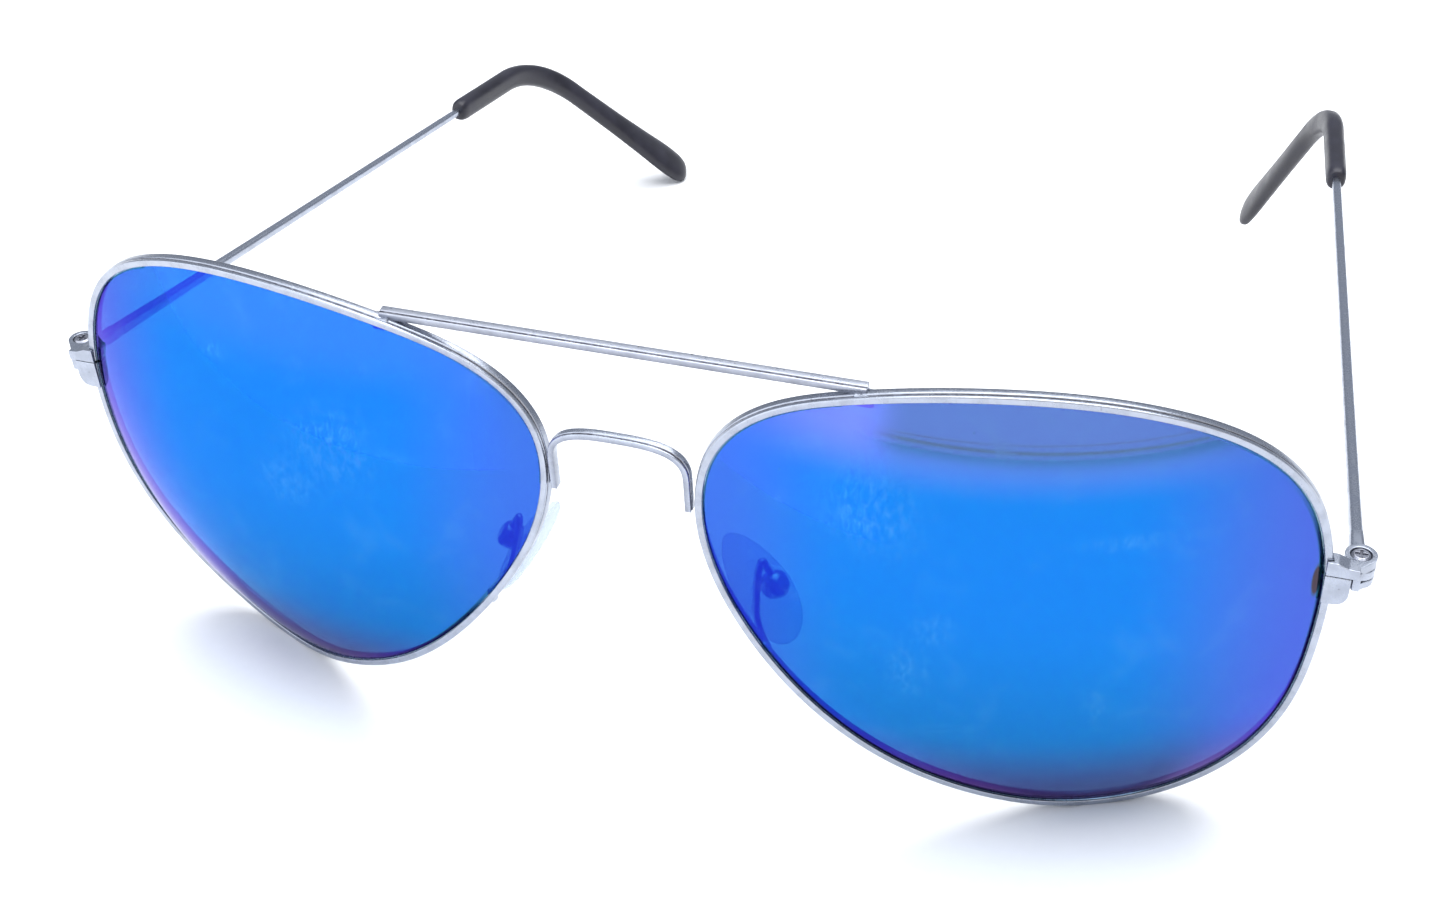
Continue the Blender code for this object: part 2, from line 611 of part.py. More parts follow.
def build_nose_pad(side_name, pad_frame, material):
    """A soft teardrop with domed faces, narrower at its top, and a stub on its back."""
    half_width, half_length = PAD_HALF
    middle = PAD_BACK - PAD_THICKNESS / 2

    def ring(scale, height):
        points = []
        for i in range(PAD_STEPS):
            turn = 2 * pi * i / PAD_STEPS
            narrow = 1 - PAD_NARROWING * sin(turn)
            x = half_width * narrow * scale * cos(turn)
            points.append(Vector((x, half_length * scale * sin(turn), height)))
        return points

    half = PAD_THICKNESS / 2
    profile = ((0.30, -1.0), (0.72, -0.86), (0.93, -0.5), (1.0, 0.0), (0.93, 0.5), (0.72, 0.86), (0.30, 1.0))
    rings = [ring(scale, middle + half * height) for scale, height in profile]
    pad = make_object(f"nose_pad_{side_name}", loft(rings), pad_frame, material, smooth=60)
    stub_x, stub_y = PAD_STUB
    stub = [[Vector((x, y, z)) for x, y in rounded(stub_x, stub_y, 12, 4.0)]
            for z in (PAD_BACK - 0.6, PAD_STUB_TOP)]
    join(pad, f"pad_stub_{side_name}", loft(stub), pad_frame)
    pin = disc(PAD_SCREW_R + RUNNING_GAP, -2, 2, steps=12, axes="yzx", side=SIDES[side_name])
    cut(pad, f"pad_stub_hole_{side_name}", pin, pad_frame)
    return pad


def build_pad_box(side_name, pad_frame, material):
    low, high = BOX_Z
    profile = ((BOX_R - 0.12, low), (BOX_R, low + 0.12), (BOX_R, high - 0.62), (BOX_R - 0.2, high - 0.26),
               (BOX_R - 0.62, high))
    box = make_object(f"pad_box_{side_name}", turned(profile, 24), pad_frame, material, smooth=50)
    slot_x, slot_y = BOX_SLOT
    slot = prism(rectangle((-slot_x, slot_x), (-slot_y, slot_y)), low - 1, BOX_SLOT_TOP)
    cut(box, f"box_slot_{side_name}", slot, pad_frame)
    side = SIDES[side_name]
    hole = disc(PAD_SCREW_R + RUNNING_GAP, -2, 2, steps=12, axes="yzx", side=side)
    cut(box, f"box_hole_{side_name}", hole, pad_frame)
    seat_base = PAD_SCREW_SEAT - RUNNING_GAP
    seat = disc(PAD_SCREW_HEAD_R + RUNNING_GAP, seat_base, 3, steps=16, axes="yzx", side=side)
    cut(box, f"box_seat_{side_name}", seat, pad_frame)
    return box


def build_pad_screw(side_name, pad_frame, material):
    side = SIDES[side_name]
    profile = ((PAD_SCREW_R, -PAD_SCREW_REACH), (PAD_SCREW_R, PAD_SCREW_SEAT),
               (PAD_SCREW_HEAD_R, PAD_SCREW_SEAT), (PAD_SCREW_HEAD_R, PAD_SCREW_TOP - 0.08),
               (PAD_SCREW_HEAD_R - 0.1, PAD_SCREW_TOP))
    shape = turned(profile, 16, axes="yzx", side=side)
    screw = make_object(f"pad_screw_{side_name}", shape, pad_frame, material)
    across = rectangle((-PAD_SCREW_SLOT, PAD_SCREW_SLOT), (-1, 1))
    slot = prism(across, PAD_SCREW_TOP - 0.14, PAD_SCREW_TOP + 1, axes="yzx", side=side)
    cut(screw, f"pad_screw_slot_{side_name}", slot, pad_frame)
    return screw


def build_pad_arm(side_name, front, pad_frame, rim_space, material):
    """A bent wire from the rim's back to the upper side of the box."""
    side = SIDES[side_name]
    root = front_point(eye_point(radians(ARM_ROOT_ANGLE), 0.30, RIM_DEPTH - 0.3, side), side)
    knots = [root] + [Vector((side * x, y, z)) for x, y, z in ARM_PATH]
    to_front = front.matrix_world.inverted() @ pad_frame.matrix_world
    box_side = to_front @ (Vector((0, BOX_R + BRAZE_GAP, 0.35)) * MM) / MM
    knots.append(box_side + (knots[-1] - box_side).normalized() * 0.12)
    wire = sweep(smooth_route(knots, 4), ARM_R, 10)
    arm = make_object(f"pad_arm_{side_name}", wire, front, material, smooth=50)
    combine(arm, rim_space, "DIFFERENCE")
    return arm


def sweep(route, radius, sides):
    """A round wire along a route, its rings turned as little as possible from one to the next."""
    rings = []
    across = Vector((0, 0, 1))
    for i, place in enumerate(route):
        heading = (route[min(i + 1, len(route) - 1)] - route[max(i - 1, 0)]).normalized()
        across = (across - heading * across.dot(heading)).normalized()
        other = heading.cross(across)
        rings.append([place + across * x + other * y for x, y in circle(radius, sides)])
    return loft(rings)


def smooth_route(knots, steps):
    """Points along a curve that passes through every knot."""
    padded = [knots[0] * 2 - knots[1]] + knots + [knots[-1] * 2 - knots[-2]]
    route = []
    for a, b, c, d in zip(padded, padded[1:], padded[2:], padded[3:]):
        for i in range(steps):
            t = i / steps
            route.append(0.5 * (2 * b + (c - a) * t + (2 * a - 5 * b + 4 * c - d) * t**2
                                + (3 * b - a - 3 * c + d) * t**3))
    return route + [knots[-1]]


# ---------------------------------------------------------------- assembly

def world_points(names):
    graph = bpy.context.evaluated_depsgraph_get()
    points = []
    for name in names:
        shown = bpy.data.objects[name].evaluated_get(graph)
        mesh = shown.to_mesh()
        points += [shown.matrix_world @ v.co for v in mesh.vertices]
        shown.to_mesh_clear()
    return points


def stand_on_table(front, nodes):
    """Lean the front until the rims and the lower tip share one floor, then put it over the origin."""
    rims = world_points(["rim_left", "rim_right"])
    tips = world_points(["temple_tip_left", "temple_tip_right"])
    lean = 0.0
    for _ in range(8):
        floor_normal = Vector((0, sin(lean), cos(lean)))
        rim_low = min(rims, key=floor_normal.dot)
        tip_low = min(tips, key=floor_normal.dot)
        lean = atan2(rim_low.z - tip_low.z, tip_low.y - rim_low.y)
    front.rotation_euler.x = lean
    bpy.context.view_layer.update()
    points = world_points(nodes)
    low_y, high_y = min(p.y for p in points), max(p.y for p in points)
    front.location = (0, -(low_y + high_y) / 2, -min(p.z for p in points))
    bpy.context.view_layer.update()


def main():
    clear_scene()
    silver = make_material("satin_silver", (0.72, 0.73, 0.78), 0.30, 1.0)
    steel = make_material("screw_steel", (0.55, 0.56, 0.60), 0.35, 1.0)
    blue = make_material("blue_mirror", (0.03, 0.25, 0.85), 0.08, 0.6, 0.8)
    clear = make_material("clear_silicone", (0.90, 0.93, 0.95), 0.15, 0.0, 0.35)
    black = make_material("black_plastic", (0.03, 0.03, 0.04), 0.40, 0.0)

    level = Matrix.Identity(3)
    front = make_empty("front", (0, 0, 0), level)
    front.rotation_mode = "XYZ"
    nodes = []
    rim_spaces = {}
    for side_name, side in SIDES.items():
        eye = make_empty(f"eye_{side_name}", (side * LENS_CENTRE_X, 0, 0),
                         Matrix.Rotation(radians(side * WRAP_ANGLE), 3, "Z"), front)
        rim_spaces[side_name] = build_rim_cutter(side_name, eye)
        nodes.append(build_rim(side_name, eye, silver))
        nodes.append(build_lens(side_name, eye, blue))
    nodes.append(build_brow_bar(front, rim_spaces, silver))
    nodes.append(build_bridge(front, rim_spaces, silver))

    for side_name, side in SIDES.items():
        rim_space = rim_spaces[side_name]
        hinge = make_empty(f"hinge_axis_{side_name}", (side * HINGE_AT[0], HINGE_AT[1], HINGE_AT[2]),
                           Matrix.Rotation(radians(-HINGE_LEAN), 3, "X"), front)
        nodes.append(build_end_piece(side_name, hinge, rim_space, silver))
        nodes.append(build_closing_block(side_name, hinge, rim_space, silver))
        nodes.append(build_rim_screw(side_name, hinge, steel))
        nodes.append(build_hinge_screw(side_name, hinge, steel))
        arm = make_empty(f"temple_axis_{side_name}", (0, 0, 0),
                         Matrix.Rotation(radians(side * TEMPLE_YAW), 3, "Z"), hinge)
        nodes.append(build_temple_hinge(side_name, arm, silver))
        nodes.append(build_temple_wire(side_name, arm, silver))
        nodes.append(build_temple_tip(side_name, arm, black))

        pad_frame = make_empty(f"pad_axis_{side_name}", (side * PAD_PIVOT[0], PAD_PIVOT[1], PAD_PIVOT[2]),
                               pad_rotation(side), front)
        bpy.context.view_layer.update()
        nodes.append(build_pad_box(side_name, pad_frame, silver))
        nodes.append(build_pad_screw(side_name, pad_frame, steel))
        nodes.append(build_nose_pad(side_name, pad_frame, clear))
        nodes.append(build_pad_arm(side_name, front, pad_frame, rim_space, silver))

    bpy.context.view_layer.update()
    stand_on_table(front, [node.name for node in nodes])


main()
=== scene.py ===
"""Looks of the aviator sunglasses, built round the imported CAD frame.

Rims, lenses, bars, wires, tips and nose pads are drawn again on the CAD's own lines with a finer mesh.
The small cast and turned pieces are the CAD solids with their edges rounded. Every shape is laid out in
millimetres in the frame that part.py uses for it: front, eye, hinge, temple or pad.
"""

import json
from math import atan2, cos, pi, radians, sin, sqrt

import bpy
import numpy as np
from mathutils import Matrix, Vector


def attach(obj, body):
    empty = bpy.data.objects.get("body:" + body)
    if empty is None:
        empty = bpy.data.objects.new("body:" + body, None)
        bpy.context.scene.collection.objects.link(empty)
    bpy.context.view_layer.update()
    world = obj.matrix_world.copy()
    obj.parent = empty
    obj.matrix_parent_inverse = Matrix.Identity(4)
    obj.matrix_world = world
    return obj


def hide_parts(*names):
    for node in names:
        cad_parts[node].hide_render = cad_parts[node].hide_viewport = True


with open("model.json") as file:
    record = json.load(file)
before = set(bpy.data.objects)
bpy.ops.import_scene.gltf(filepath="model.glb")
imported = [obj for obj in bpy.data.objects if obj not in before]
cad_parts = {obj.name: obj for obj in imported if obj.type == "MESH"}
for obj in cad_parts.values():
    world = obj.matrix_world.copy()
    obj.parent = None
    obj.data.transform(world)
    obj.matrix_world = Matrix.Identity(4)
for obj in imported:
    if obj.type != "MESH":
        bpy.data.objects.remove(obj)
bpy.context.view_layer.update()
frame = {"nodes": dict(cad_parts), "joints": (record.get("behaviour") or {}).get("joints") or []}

MM = 0.001
SIDES = {"left": 1, "right": -1}

# Rims and lenses, as in the CAD.
LENS_RADII = (28.8, 30.8, 28.8, 27.4, 29.6, 32.4, 25.4, 20.6, 20.2, 23.8, 30.6, 30.1)
LENS_CENTRE_X = 38.5
LENS_CURVE_RADIUS = 57.0
WRAP_ANGLE = 10.75
RIM_SECTION = (
    (0.00, 0.08), (0.00, 0.42), (0.40, 0.75), (0.00, 1.08), (0.00, 1.42), (0.08, 1.50), (0.52, 1.50),
    (0.80, 1.30), (0.82, 0.62), (0.64, 0.48), (0.78, 0.36), (0.78, 0.10), (0.68, 0.00), (0.08, 0.00),
)
RIM_DEPTH = 1.50
RIM_CUT_ANGLE = 14.0
RIM_CUT_GAP = 0.36
RIM_STEPS = 300
RIM_ROUNDING = 0.07
LENS_RECESS = 0.25
LENS_THICKNESS = 1.25
LENS_EDGE = ((-0.08, 0.46), (0.30, 0.75), (-0.08, 1.04))
LENS_EDGE_CLEARANCE = 0.08
LENS_STEPS = 240
LENS_RINGS = 22
LENS_CROWDING = 1.6

# Brow bar and bridge
BAR_HALF_LENGTH = 23.9
BAR_Y = 6.8
BAR_Z = 26.82
BAR_SECTION = ((-0.60, -0.36), (0.52, -0.36), (0.60, -0.28), (0.60, 0.30), (0.52, 0.38),
               (-0.18, 0.38), (-0.26, 0.27), (-0.36, 0.27), (-0.44, 0.34), (-0.60, 0.28))
FOOT_X = (22.7, 24.7)
FOOT_Y = (5.7, 7.1)
FOOT_Z = (25.5, 26.75)
BRIDGE_LEG_X = 6.88
BRIDGE_FOOT_Z = 10.7
BRIDGE_SPRING_Z = 14.0
BRIDGE_RISE = 3.85
BRIDGE_POWER = 3.0
BRIDGE_Y = (4.1, 4.45)
BRIDGE_SECTION = ((-0.55, -0.30), (0.45, -0.36), (0.55, -0.26), (0.55, 0.26), (0.45, 0.36),
                  (-0.14, 0.36), (-0.22, 0.24), (-0.32, 0.24), (-0.40, 0.34), (-0.55, 0.26))
BRIDGE_STEPS = 96
BAR_ROUNDING = 0.05
FOOT_SOLDER = (1.05, 0.50, 0.22)

# Hinges and temples
HINGE_AT = (68.3, 16.0, 6.6)
HINGE_LEAN = 4.5
TEMPLE_YAW = 5.0
TEMPLE_DROP = {"left": 3.8, "right": 7.8}
TEMPLE_ROLL = {"left": 18.0, "right": 38.5}
TEMPLE_OFFSET = -0.10
TEMPLE_BEND_START = 97.5
TEMPLE_BEND_RADIUS = 16.5
TEMPLE_BEND_ANGLE = 56.0
WIRE_SIZES = ((4.9, 0.66, 0.80), (14.0, 0.62, 0.68), (40.0, 0.58, 0.54), (81.0, 0.54, 0.50),
              (82.6, 0.46, 0.46), (84.5, 0.46, 0.46))
TIP_START = 83.0
WIRE_STATION_STEP = 1.5
TIP_STATION_STEP = 0.6
TIP_SIZES = ((0.0, 0.86, 1.06), (0.15, 1.02, 1.24), (0.5, 1.17, 1.41), (1.4, 1.26, 1.52), (14.0, 1.28, 1.55),
             (22.5, 1.24, 1.60), (30.6, 1.24, 1.64), (38.6, 1.18, 1.90), (45.6, 1.12, 2.35),
             (51.1, 1.06, 2.75), (53.5, 0.98, 2.62), (54.9, 0.80, 2.05), (55.4, 0.58, 1.42),
             (55.58, 0.30, 0.80), (55.62, 0.06, 0.16))

# Nose pads
PAD_PIVOT = (14.2, 6.7, -0.3)
PAD_FRONTAL = 34.0
PAD_SPLAY = 16.0
PAD_PITCH = -8.0
PAD_HALF = (3.6, 6.7)
PAD_NARROWING = 0.22
PAD_BACK = -1.30
PAD_THICKNESS = 1.55
PAD_RINGS = 28
PAD_SIDES = 64
PAD_FULLNESS = 0.62
PAD_STUB = (0.55, 0.62, 0.58)
BOX_R = 1.42
ARM_R = 0.40
ARM_ROOT_ANGLE = 190.0
ARM_ROOT_SWELL = 0.45
ARM_ROOT_POINTS = 9
ARM_END_SWELL = 0.18
ARM_END_POINTS = 6
ARM_SIDES = 24
ARM_SOLDER = (0.50, 0.42, 0.85)
ARM_PATH = ((13.3, 3.2, -2.0), (12.95, 4.3, -0.7), (12.75, 5.4, 1.0), (12.8, 6.3, 2.2), (13.05, 6.85, 2.4))

# Solder: rings and sides of each blob, and the waves in its skin.
SOLDER_RINGS = 20
SOLDER_SIDES = 32
SOLDER_WAVES = 6
SOLDER_SWELL = 0.05

# Painted shade in grooves: points drawn for each rounded corner, shaded corners of each profile, and
# hollows.
CORNER_POINTS = 4
RIM_GROOVE_SHADE = {9: 1.0, 7: 0.35, 0: 0.3}
BAR_GROOVE_SHADE = {0: 0.5, 6: 1.0, 7: 1.0}
BRIDGE_GROOVE_SHADE = {0: 0.4, 6: 1.0, 7: 1.0}
HOLLOW_GAIN = 5.0
HOLLOW_SPREAD = 3

# Mirror coat: its colour by place on the lens, deeper blue towards the bottom, with painted reflection in
# it: grey at the top, violet at the nose, temple and bottom, the shaded floor's brown along the bottom edge,
# and painted groove shade along the rim. u runs from the lens's middle to the temple and v up, in
# millimetres, and edge is the distance in from the lens's rim.
COAT_MIDDLE = (0.0, 0.026, 0.56)
COAT_DEEP = (0.0, 0.030, 0.45)
COAT_OUTER_REFLECTION_TINT = (0.055, 0.036, 0.52)
COAT_INNER_REFLECTION_TINT = (0.022, 0.034, 0.54)
COAT_LOW_REFLECTION = (0.052, 0.016, 0.20)
COAT_LOW_EDGE_SHADOW_REFLECTION = (0.066, 0.013, 0.055)
COAT_TOP_REFLECTION = (0.135, 0.110, 0.70)
COAT_PATCH = (0.058, 0.040, 0.042)
COAT_EDGE_SHADE = (0.001, 0.004, 0.030)
COAT_SHARE = 0.65
COAT_EDGE_SHADE_SHARE = 0.97
COAT_GRAZING = (0.62, 0.55, 1.0, 1.0)

# Light that the coat lets through: in the middle, at the nose, at the temple, at the bottom and at the top
CLEAR_MIDDLE = (0.05, 0.66, 0.76)
CLEAR_INNER = (0.17, 0.42, 0.60)
CLEAR_OUTER = (0.10, 0.38, 0.52)
CLEAR_LOW = (0.12, 0.27, 0.40)
CLEAR_TOP = (0.12, 0.46, 0.60)

# How grey the painted reflection makes the top of each lens, and the brownish patch beside the cut in the
# rim, as a spot().
TOP_REFLECTION_GREY = {"left": 1.0, "right": 0.15}
CUT_PATCH = (28.25, 6.6, 0.60, 2.3, 0.6)

# Smudges on each lens, as spots: (u, v), half sizes, and where on the way out each starts to fade.
SMUDGES = {
    "left": ((-12.5, 16.5, 8.0, 6.5, 0.1), (-9.0, -0.5, 3.2, 6.0, 0.2), (-6.5, 5.0, 3.5, 3.0, 0.1),
             (12.0, 15.0, 9.0, 1.2, 0.2), (9.0, -4.0, 1.4, 5.0, 0.2)),
    "right": ((-9.0, 13.5, 8.0, 7.5, 0.1), (-3.5, 8.5, 6.0, 5.0, 0.1), (5.0, 20.0, 2.5, 1.4, 0.1)),
}
SMUDGE_COLOUR = (0.16, 0.34, 0.62)
DUST_COLOUR = (0.02, 0.03, 0.10)

# Colours of the metal and of the painted shade in its grooves
WIRE_COLOUR = (0.40, 0.43, 0.50)
BAR_COLOUR = (0.37, 0.39, 0.45)
CAST_COLOUR = (0.39, 0.42, 0.49)
STEEL_COLOUR = (0.32, 0.33, 0.38)
NICK_COLOUR = (0.10, 0.09, 0.09)
GROOVE_SHADE_COLOUR = (0.045, 0.042, 0.055)

# Cast and turned pieces: CAD node, piece, body, slot, material, size of the remeshing voxel in
# millimetres, smoothing passes, and the share of the faces that's kept.
SMALL_PIECES = (
    ("end_piece", "hinge_lug", "front", "satin_silver", "cast", 0.045, 4, 0.35),
    ("closing_block", "rim_block", "front", "satin_silver", "cast", 0.045, 4, 0.35),
    ("temple_hinge", "temple_root", "temple", "satin_silver", "cast", 0.045, 4, 0.35),
    ("hinge_screw", "hinge_screw_head", "front", "screw_steel", "steel", 0.022, 1, 0.4),
    ("rim_screw", "rim_screw_body", "front", "screw_steel", "steel", 0.030, 2, 0.5),
    ("pad_box", "pad_cup", "front", "satin_silver", "cast", 0.040, 3, 0.5),
    ("pad_screw", "pad_pin", "front", "screw_steel", "steel", 0.025, 2, 0.5),
)

# Stage, in metres. Cards stand facing the front: x from and to, y, z at the first x, z at the second x,
# colour and strength. The white one thins out between the two places in CARD_FADE.
FLOOR_REACH = 6.0
CARD_FADE = (-0.012, 0.012)
WHITE_CARD = ((-1.2, 0.013), -0.16, (0.0, 0.6), (0.0, 0.6), (0.97, 1.0, 1.05), 1.98)
SKY_CARD = ((-1.0, 8.0), -3.1, (0.0, 4.0), (0.0, 4.0), (0.98, 0.95, 0.92), 1.05)
NEAR_EDGE = ((-0.9, 4.0), -3.0, (0.050, 0.095), (0.050, 0.095), (1.0, 0.42, 0.34), 0.85)
FAR_EDGE = ((-0.9, 4.0), -3.0, (0.120, 0.136), (0.210, 0.226), (1.0, 0.42, 0.34), 0.95)

# Lights: place, target, size, power and colour.
KEY_LIGHT = ((0.10, 0.08, 1.2), (0, 0.05, 0), (1.5, 1.3), 27.0, (0.98, 0.99, 1.0))
FILL_LIGHT = ((-1.1, -0.6, 0.9), (0, 0, 0.02), (0.9, 0.9), 7.0, (0.95, 0.97, 1.0))
WORLD_COLOUR = (0.82, 0.88, 1.0, 1.0)
WORLD_STRENGTH = 0.55

# Camera, in the frame of the front: where it stands and how it is turned (a rotation vector).
CAMERA_AT = (59.157, -124.313, 140.269)
CAMERA_TURN = (2.28567159, 0.3267763, -0.22532689)
CAMERA_LENS = 49.47
SENSOR_WIDTH = 36.0


# ---------------------------------------------------------------- frames

def turn(angle, axis):
    return Matrix.Rotation(radians(angle), 4, axis)


def at(x, y, z):
    return Matrix.Translation((x, y, z))


def front_frame():
    """From the front's own millimetres to the row frame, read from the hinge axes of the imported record."""
    joint = next(j for j in frame["joints"] if j["name"] == "fold_left")
    axis = Vector(joint["axis"])
    lean = atan2(-axis.y, axis.z) + radians(HINGE_LEAN)
    rotation = Matrix.Rotation(lean, 4, "X")
    place = Vector(joint["pos_m"]) - rotation @ (Vector(HINGE_AT) * MM)
    return Matrix.Translation(place) @ rotation


FRONT = front_frame()


def eye_frame(side):
    return at(side * LENS_CENTRE_X, 0, 0) @ turn(side * WRAP_ANGLE, "Z")


def temple_frame(side):
    hinge = at(side * HINGE_AT[0], HINGE_AT[1], HINGE_AT[2]) @ turn(-HINGE_LEAN, "X")
    return hinge @ turn(side * TEMPLE_YAW, "Z")


def pad_frame(side):
    turned = turn(PAD_PITCH, "X") @ turn(-PAD_FRONTAL, "Y") @ turn(-PAD_SPLAY, "Z")
    away = (turned @ Vector((1, 0, 0, 0))).to_3d()
    long_axis = (turned @ Vector((0, 0, 1, 0))).to_3d()
    away.x *= side
    long_axis.x *= side
    axes = Matrix((long_axis.cross(away), long_axis, away)).transposed()
    return at(side * PAD_PIVOT[0], PAD_PIVOT[1], PAD_PIVOT[2]) @ axes.to_4x4()


# ---------------------------------------------------------------- mesh tools

def make_piece(name, points, faces, place, body, materials, sharp=35.0):
    """A mesh drawn in millimetres in its own frame, set down there and riding on its body."""
    mesh = bpy.data.meshes.new(name)
    mesh.from_pydata([Vector(p) * MM for p in points], [], faces)
    mesh.update()
    return finish_piece(name, mesh, place, body, materials, sharp)


def finish_piece(name, mesh, place, body, materials, sharp=35.0):
    mesh.shade_smooth()
    mesh.set_sharp_from_angle(angle=radians(sharp))
    piece = bpy.data.objects.new(name, mesh)
    bpy.context.scene.collection.objects.link(piece)
    for material in materials:
        mesh.materials.append(material)
    keep_places(mesh)
    shift = place.copy()
    shift.translation = place.translation * MM
    mesh.transform(FRONT @ shift)
    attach(piece, body)
    return piece


def keep_places(mesh):
    """Each point's place on its piece, in millimetres, kept for the materials."""
    places = np.zeros(len(mesh.vertices) * 3, np.float32)
    mesh.vertices.foreach_get("co", places)
    mesh.attributes.new("place_mm", "FLOAT_VECTOR", "POINT").data.foreach_set("vector", places / MM)


def mark_painted_shade(mesh, values):
    """How much painted shade sits at each point, from 0 to 1, kept for the materials."""
    mesh.attributes.new("painted_shade", "FLOAT", "POINT").data.foreach_set("value", np.array(values, np.float32))


def profile_painted_shade(corners, shaded, ring_count):
    """Painted shade along the corners of a profile, for every ring drawn with soften()."""
    per_corner = [shaded.get(i, 0.0) for i in range(corners) for _ in range(CORNER_POINTS)]
    return per_corner * ring_count


def hollow_painted_shade(mesh):
    """Painted shade in the hollows of a mesh: where its neighbours stand higher than the point itself."""
    count = len(mesh.vertices)
    ends = np.zeros(len(mesh.edges) * 2, int)
    mesh.edges.foreach_get("vertices", ends)
    ends = ends.reshape(-1, 2)
    here, there = np.concatenate([ends[:, 0], ends[:, 1]]), np.concatenate([ends[:, 1], ends[:, 0]])
    degree = np.maximum(np.bincount(here, minlength=count), 1)
    co, normals = np.zeros(count * 3), np.zeros(count * 3)
    mesh.vertices.foreach_get("co", co)
    mesh.vertices.foreach_get("normal", normals)
    co, normals = co.reshape(-1, 3), normals.reshape(-1, 3)

    def around(values):
        return np.bincount(here, values[there], count) / degree

    lift = sum((around(co[:, k]) - co[:, k]) * normals[:, k] for k in range(3))
    step = np.linalg.norm(co[ends[:, 0]] - co[ends[:, 1]], axis=1).mean()
    painted_shade = np.clip(lift / step * HOLLOW_GAIN, 0.0, 1.0)
    for _ in range(HOLLOW_SPREAD):
        painted_shade = np.maximum(painted_shade * 0.8, around(painted_shade))
    mark_painted_shade(mesh, np.clip(painted_shade, 0.0, 1.0))


def loft(rings, closed=False, start=0):
    """Points and faces of a skin over rings with equal counts, with caps unless it is closed."""
    count = len(rings[0])
    points = [p for ring in rings for p in ring]
    faces = []
    pairs = list(zip(range(len(rings)), range(1, len(rings))))
    if closed:
        pairs.append((len(rings) - 1, 0))
    for low, high in pairs:
        for i in range(count):
            j = (i + 1) % count
            faces.append((start + low * count + i, start + low * count + j,
                          start + high * count + j, start + high * count + i))
    if not closed:
        faces.append(tuple(start + i for i in reversed(range(count))))
        faces.append(tuple(start + (len(rings) - 1) * count + i for i in range(count)))
    return points, faces


def outward(points, faces):
    """The same skin with its faces turned to look out."""
    p = np.array([tuple(q) for q in points])
    volume = 0.0
    for face in faces:
        for b, c in zip(face[1:], face[2:]):
            volume += float(np.dot(p[face[0]], np.cross(p[b], p[c])))
    return points, (faces if volume > 0 else [tuple(reversed(f)) for f in faces])


def soften(outline, size):
    """Round every corner of a closed outline."""
    steps = CORNER_POINTS - 1
    corners = [np.array(p, float) for p in outline]
    result = []
    for i, corner in enumerate(corners):
        before, after = corners[i - 1] - corner, corners[(i + 1) % len(corners)] - corner
        room_before, room_after = np.linalg.norm(before), np.linalg.norm(after)
        start = corner + before / room_before * min(size, room_before * 0.45)
        end = corner + after / room_after * min(size, room_after * 0.45)
        for k in range(steps + 1):
            t = k / steps
            result.append(tuple((1 - t) ** 2 * start + 2 * t * (1 - t) * corner + t**2 * end))
    return result


def rounded(half_width, half_height, sides, power=2.5):
    """A rounded rectangle as a superellipse."""
    points = []
    for i in range(sides):
        angle = 2 * pi * (i + 0.5) / sides
        across, along = cos(angle), sin(angle)
        points.append((half_width * abs(across) ** (2 / power) * (1 if across > 0 else -1),
                       half_height * abs(along) ** (2 / power) * (1 if along > 0 else -1)))
    return points


def smooth_table(table, place):
    """A row of sizes at a distance, by a cubic that never overshoots the table."""
    knots = [row[0] for row in table]
    k = min(max(int(np.searchsorted(knots, place, "right")) - 1, 0), len(table) - 2)
    width = knots[k + 1] - knots[k]
    t = min(max((place - knots[k]) / width, 0.0), 1.0)

    def slope(i, column):
        if i <= 0 or i >= len(table) - 1:
            return 0.0
        before = (table[i][column] - table[i - 1][column]) / (knots[i] - knots[i - 1])
        after = (table[i + 1][column] - table[i][column]) / (knots[i + 1] - knots[i])
        return 0.0 if before * after <= 0 else 2 * before * after / (before + after)

    sizes = []
    for column in range(1, len(table[0])):
        a, b = table[k][column], table[k + 1][column]
        low, high = slope(k, column) * width, slope(k + 1, column) * width
        sizes.append((2 * t**3 - 3 * t**2 + 1) * a + (t**3 - 2 * t**2 + t) * low
                     + (3 * t**2 - 2 * t**3) * b + (t**3 - t**2) * high)
    return sizes


def smooth_route(knots, steps):
    """Points along a curve that passes through every knot."""
    padded = [knots[0] * 2 - knots[1]] + knots + [knots[-1] * 2 - knots[-2]]
    route = []
    for a, b, c, d in zip(padded, padded[1:], padded[2:], padded[3:]):
        for i in range(steps):
            t = i / steps
            route.append(0.5 * (2 * b + (c - a) * t + (2 * a - 5 * b + 4 * c - d) * t**2
                                + (3 * b - a - 3 * c + d) * t**3))
    return route + [knots[-1]]


def sweep(route, radii, sides):
    """A round wire along a route, its rings turned as little as possible from one to the next."""
    rings = []
    across = Vector((0, 0, 1))
    for i, (place, radius) in enumerate(zip(route, radii)):
        heading = (route[min(i + 1, len(route) - 1)] - route[max(i - 1, 0)]).normalized()
        across = (across - heading * across.dot(heading)).normalized()
        other = heading.cross(across)
        rings.append([place + (across * cos(a) + other * sin(a)) * radius
                      for a in np.linspace(0, 2 * pi, sides, endpoint=False)])
    return rings


# ---------------------------------------------------------------- lens outline

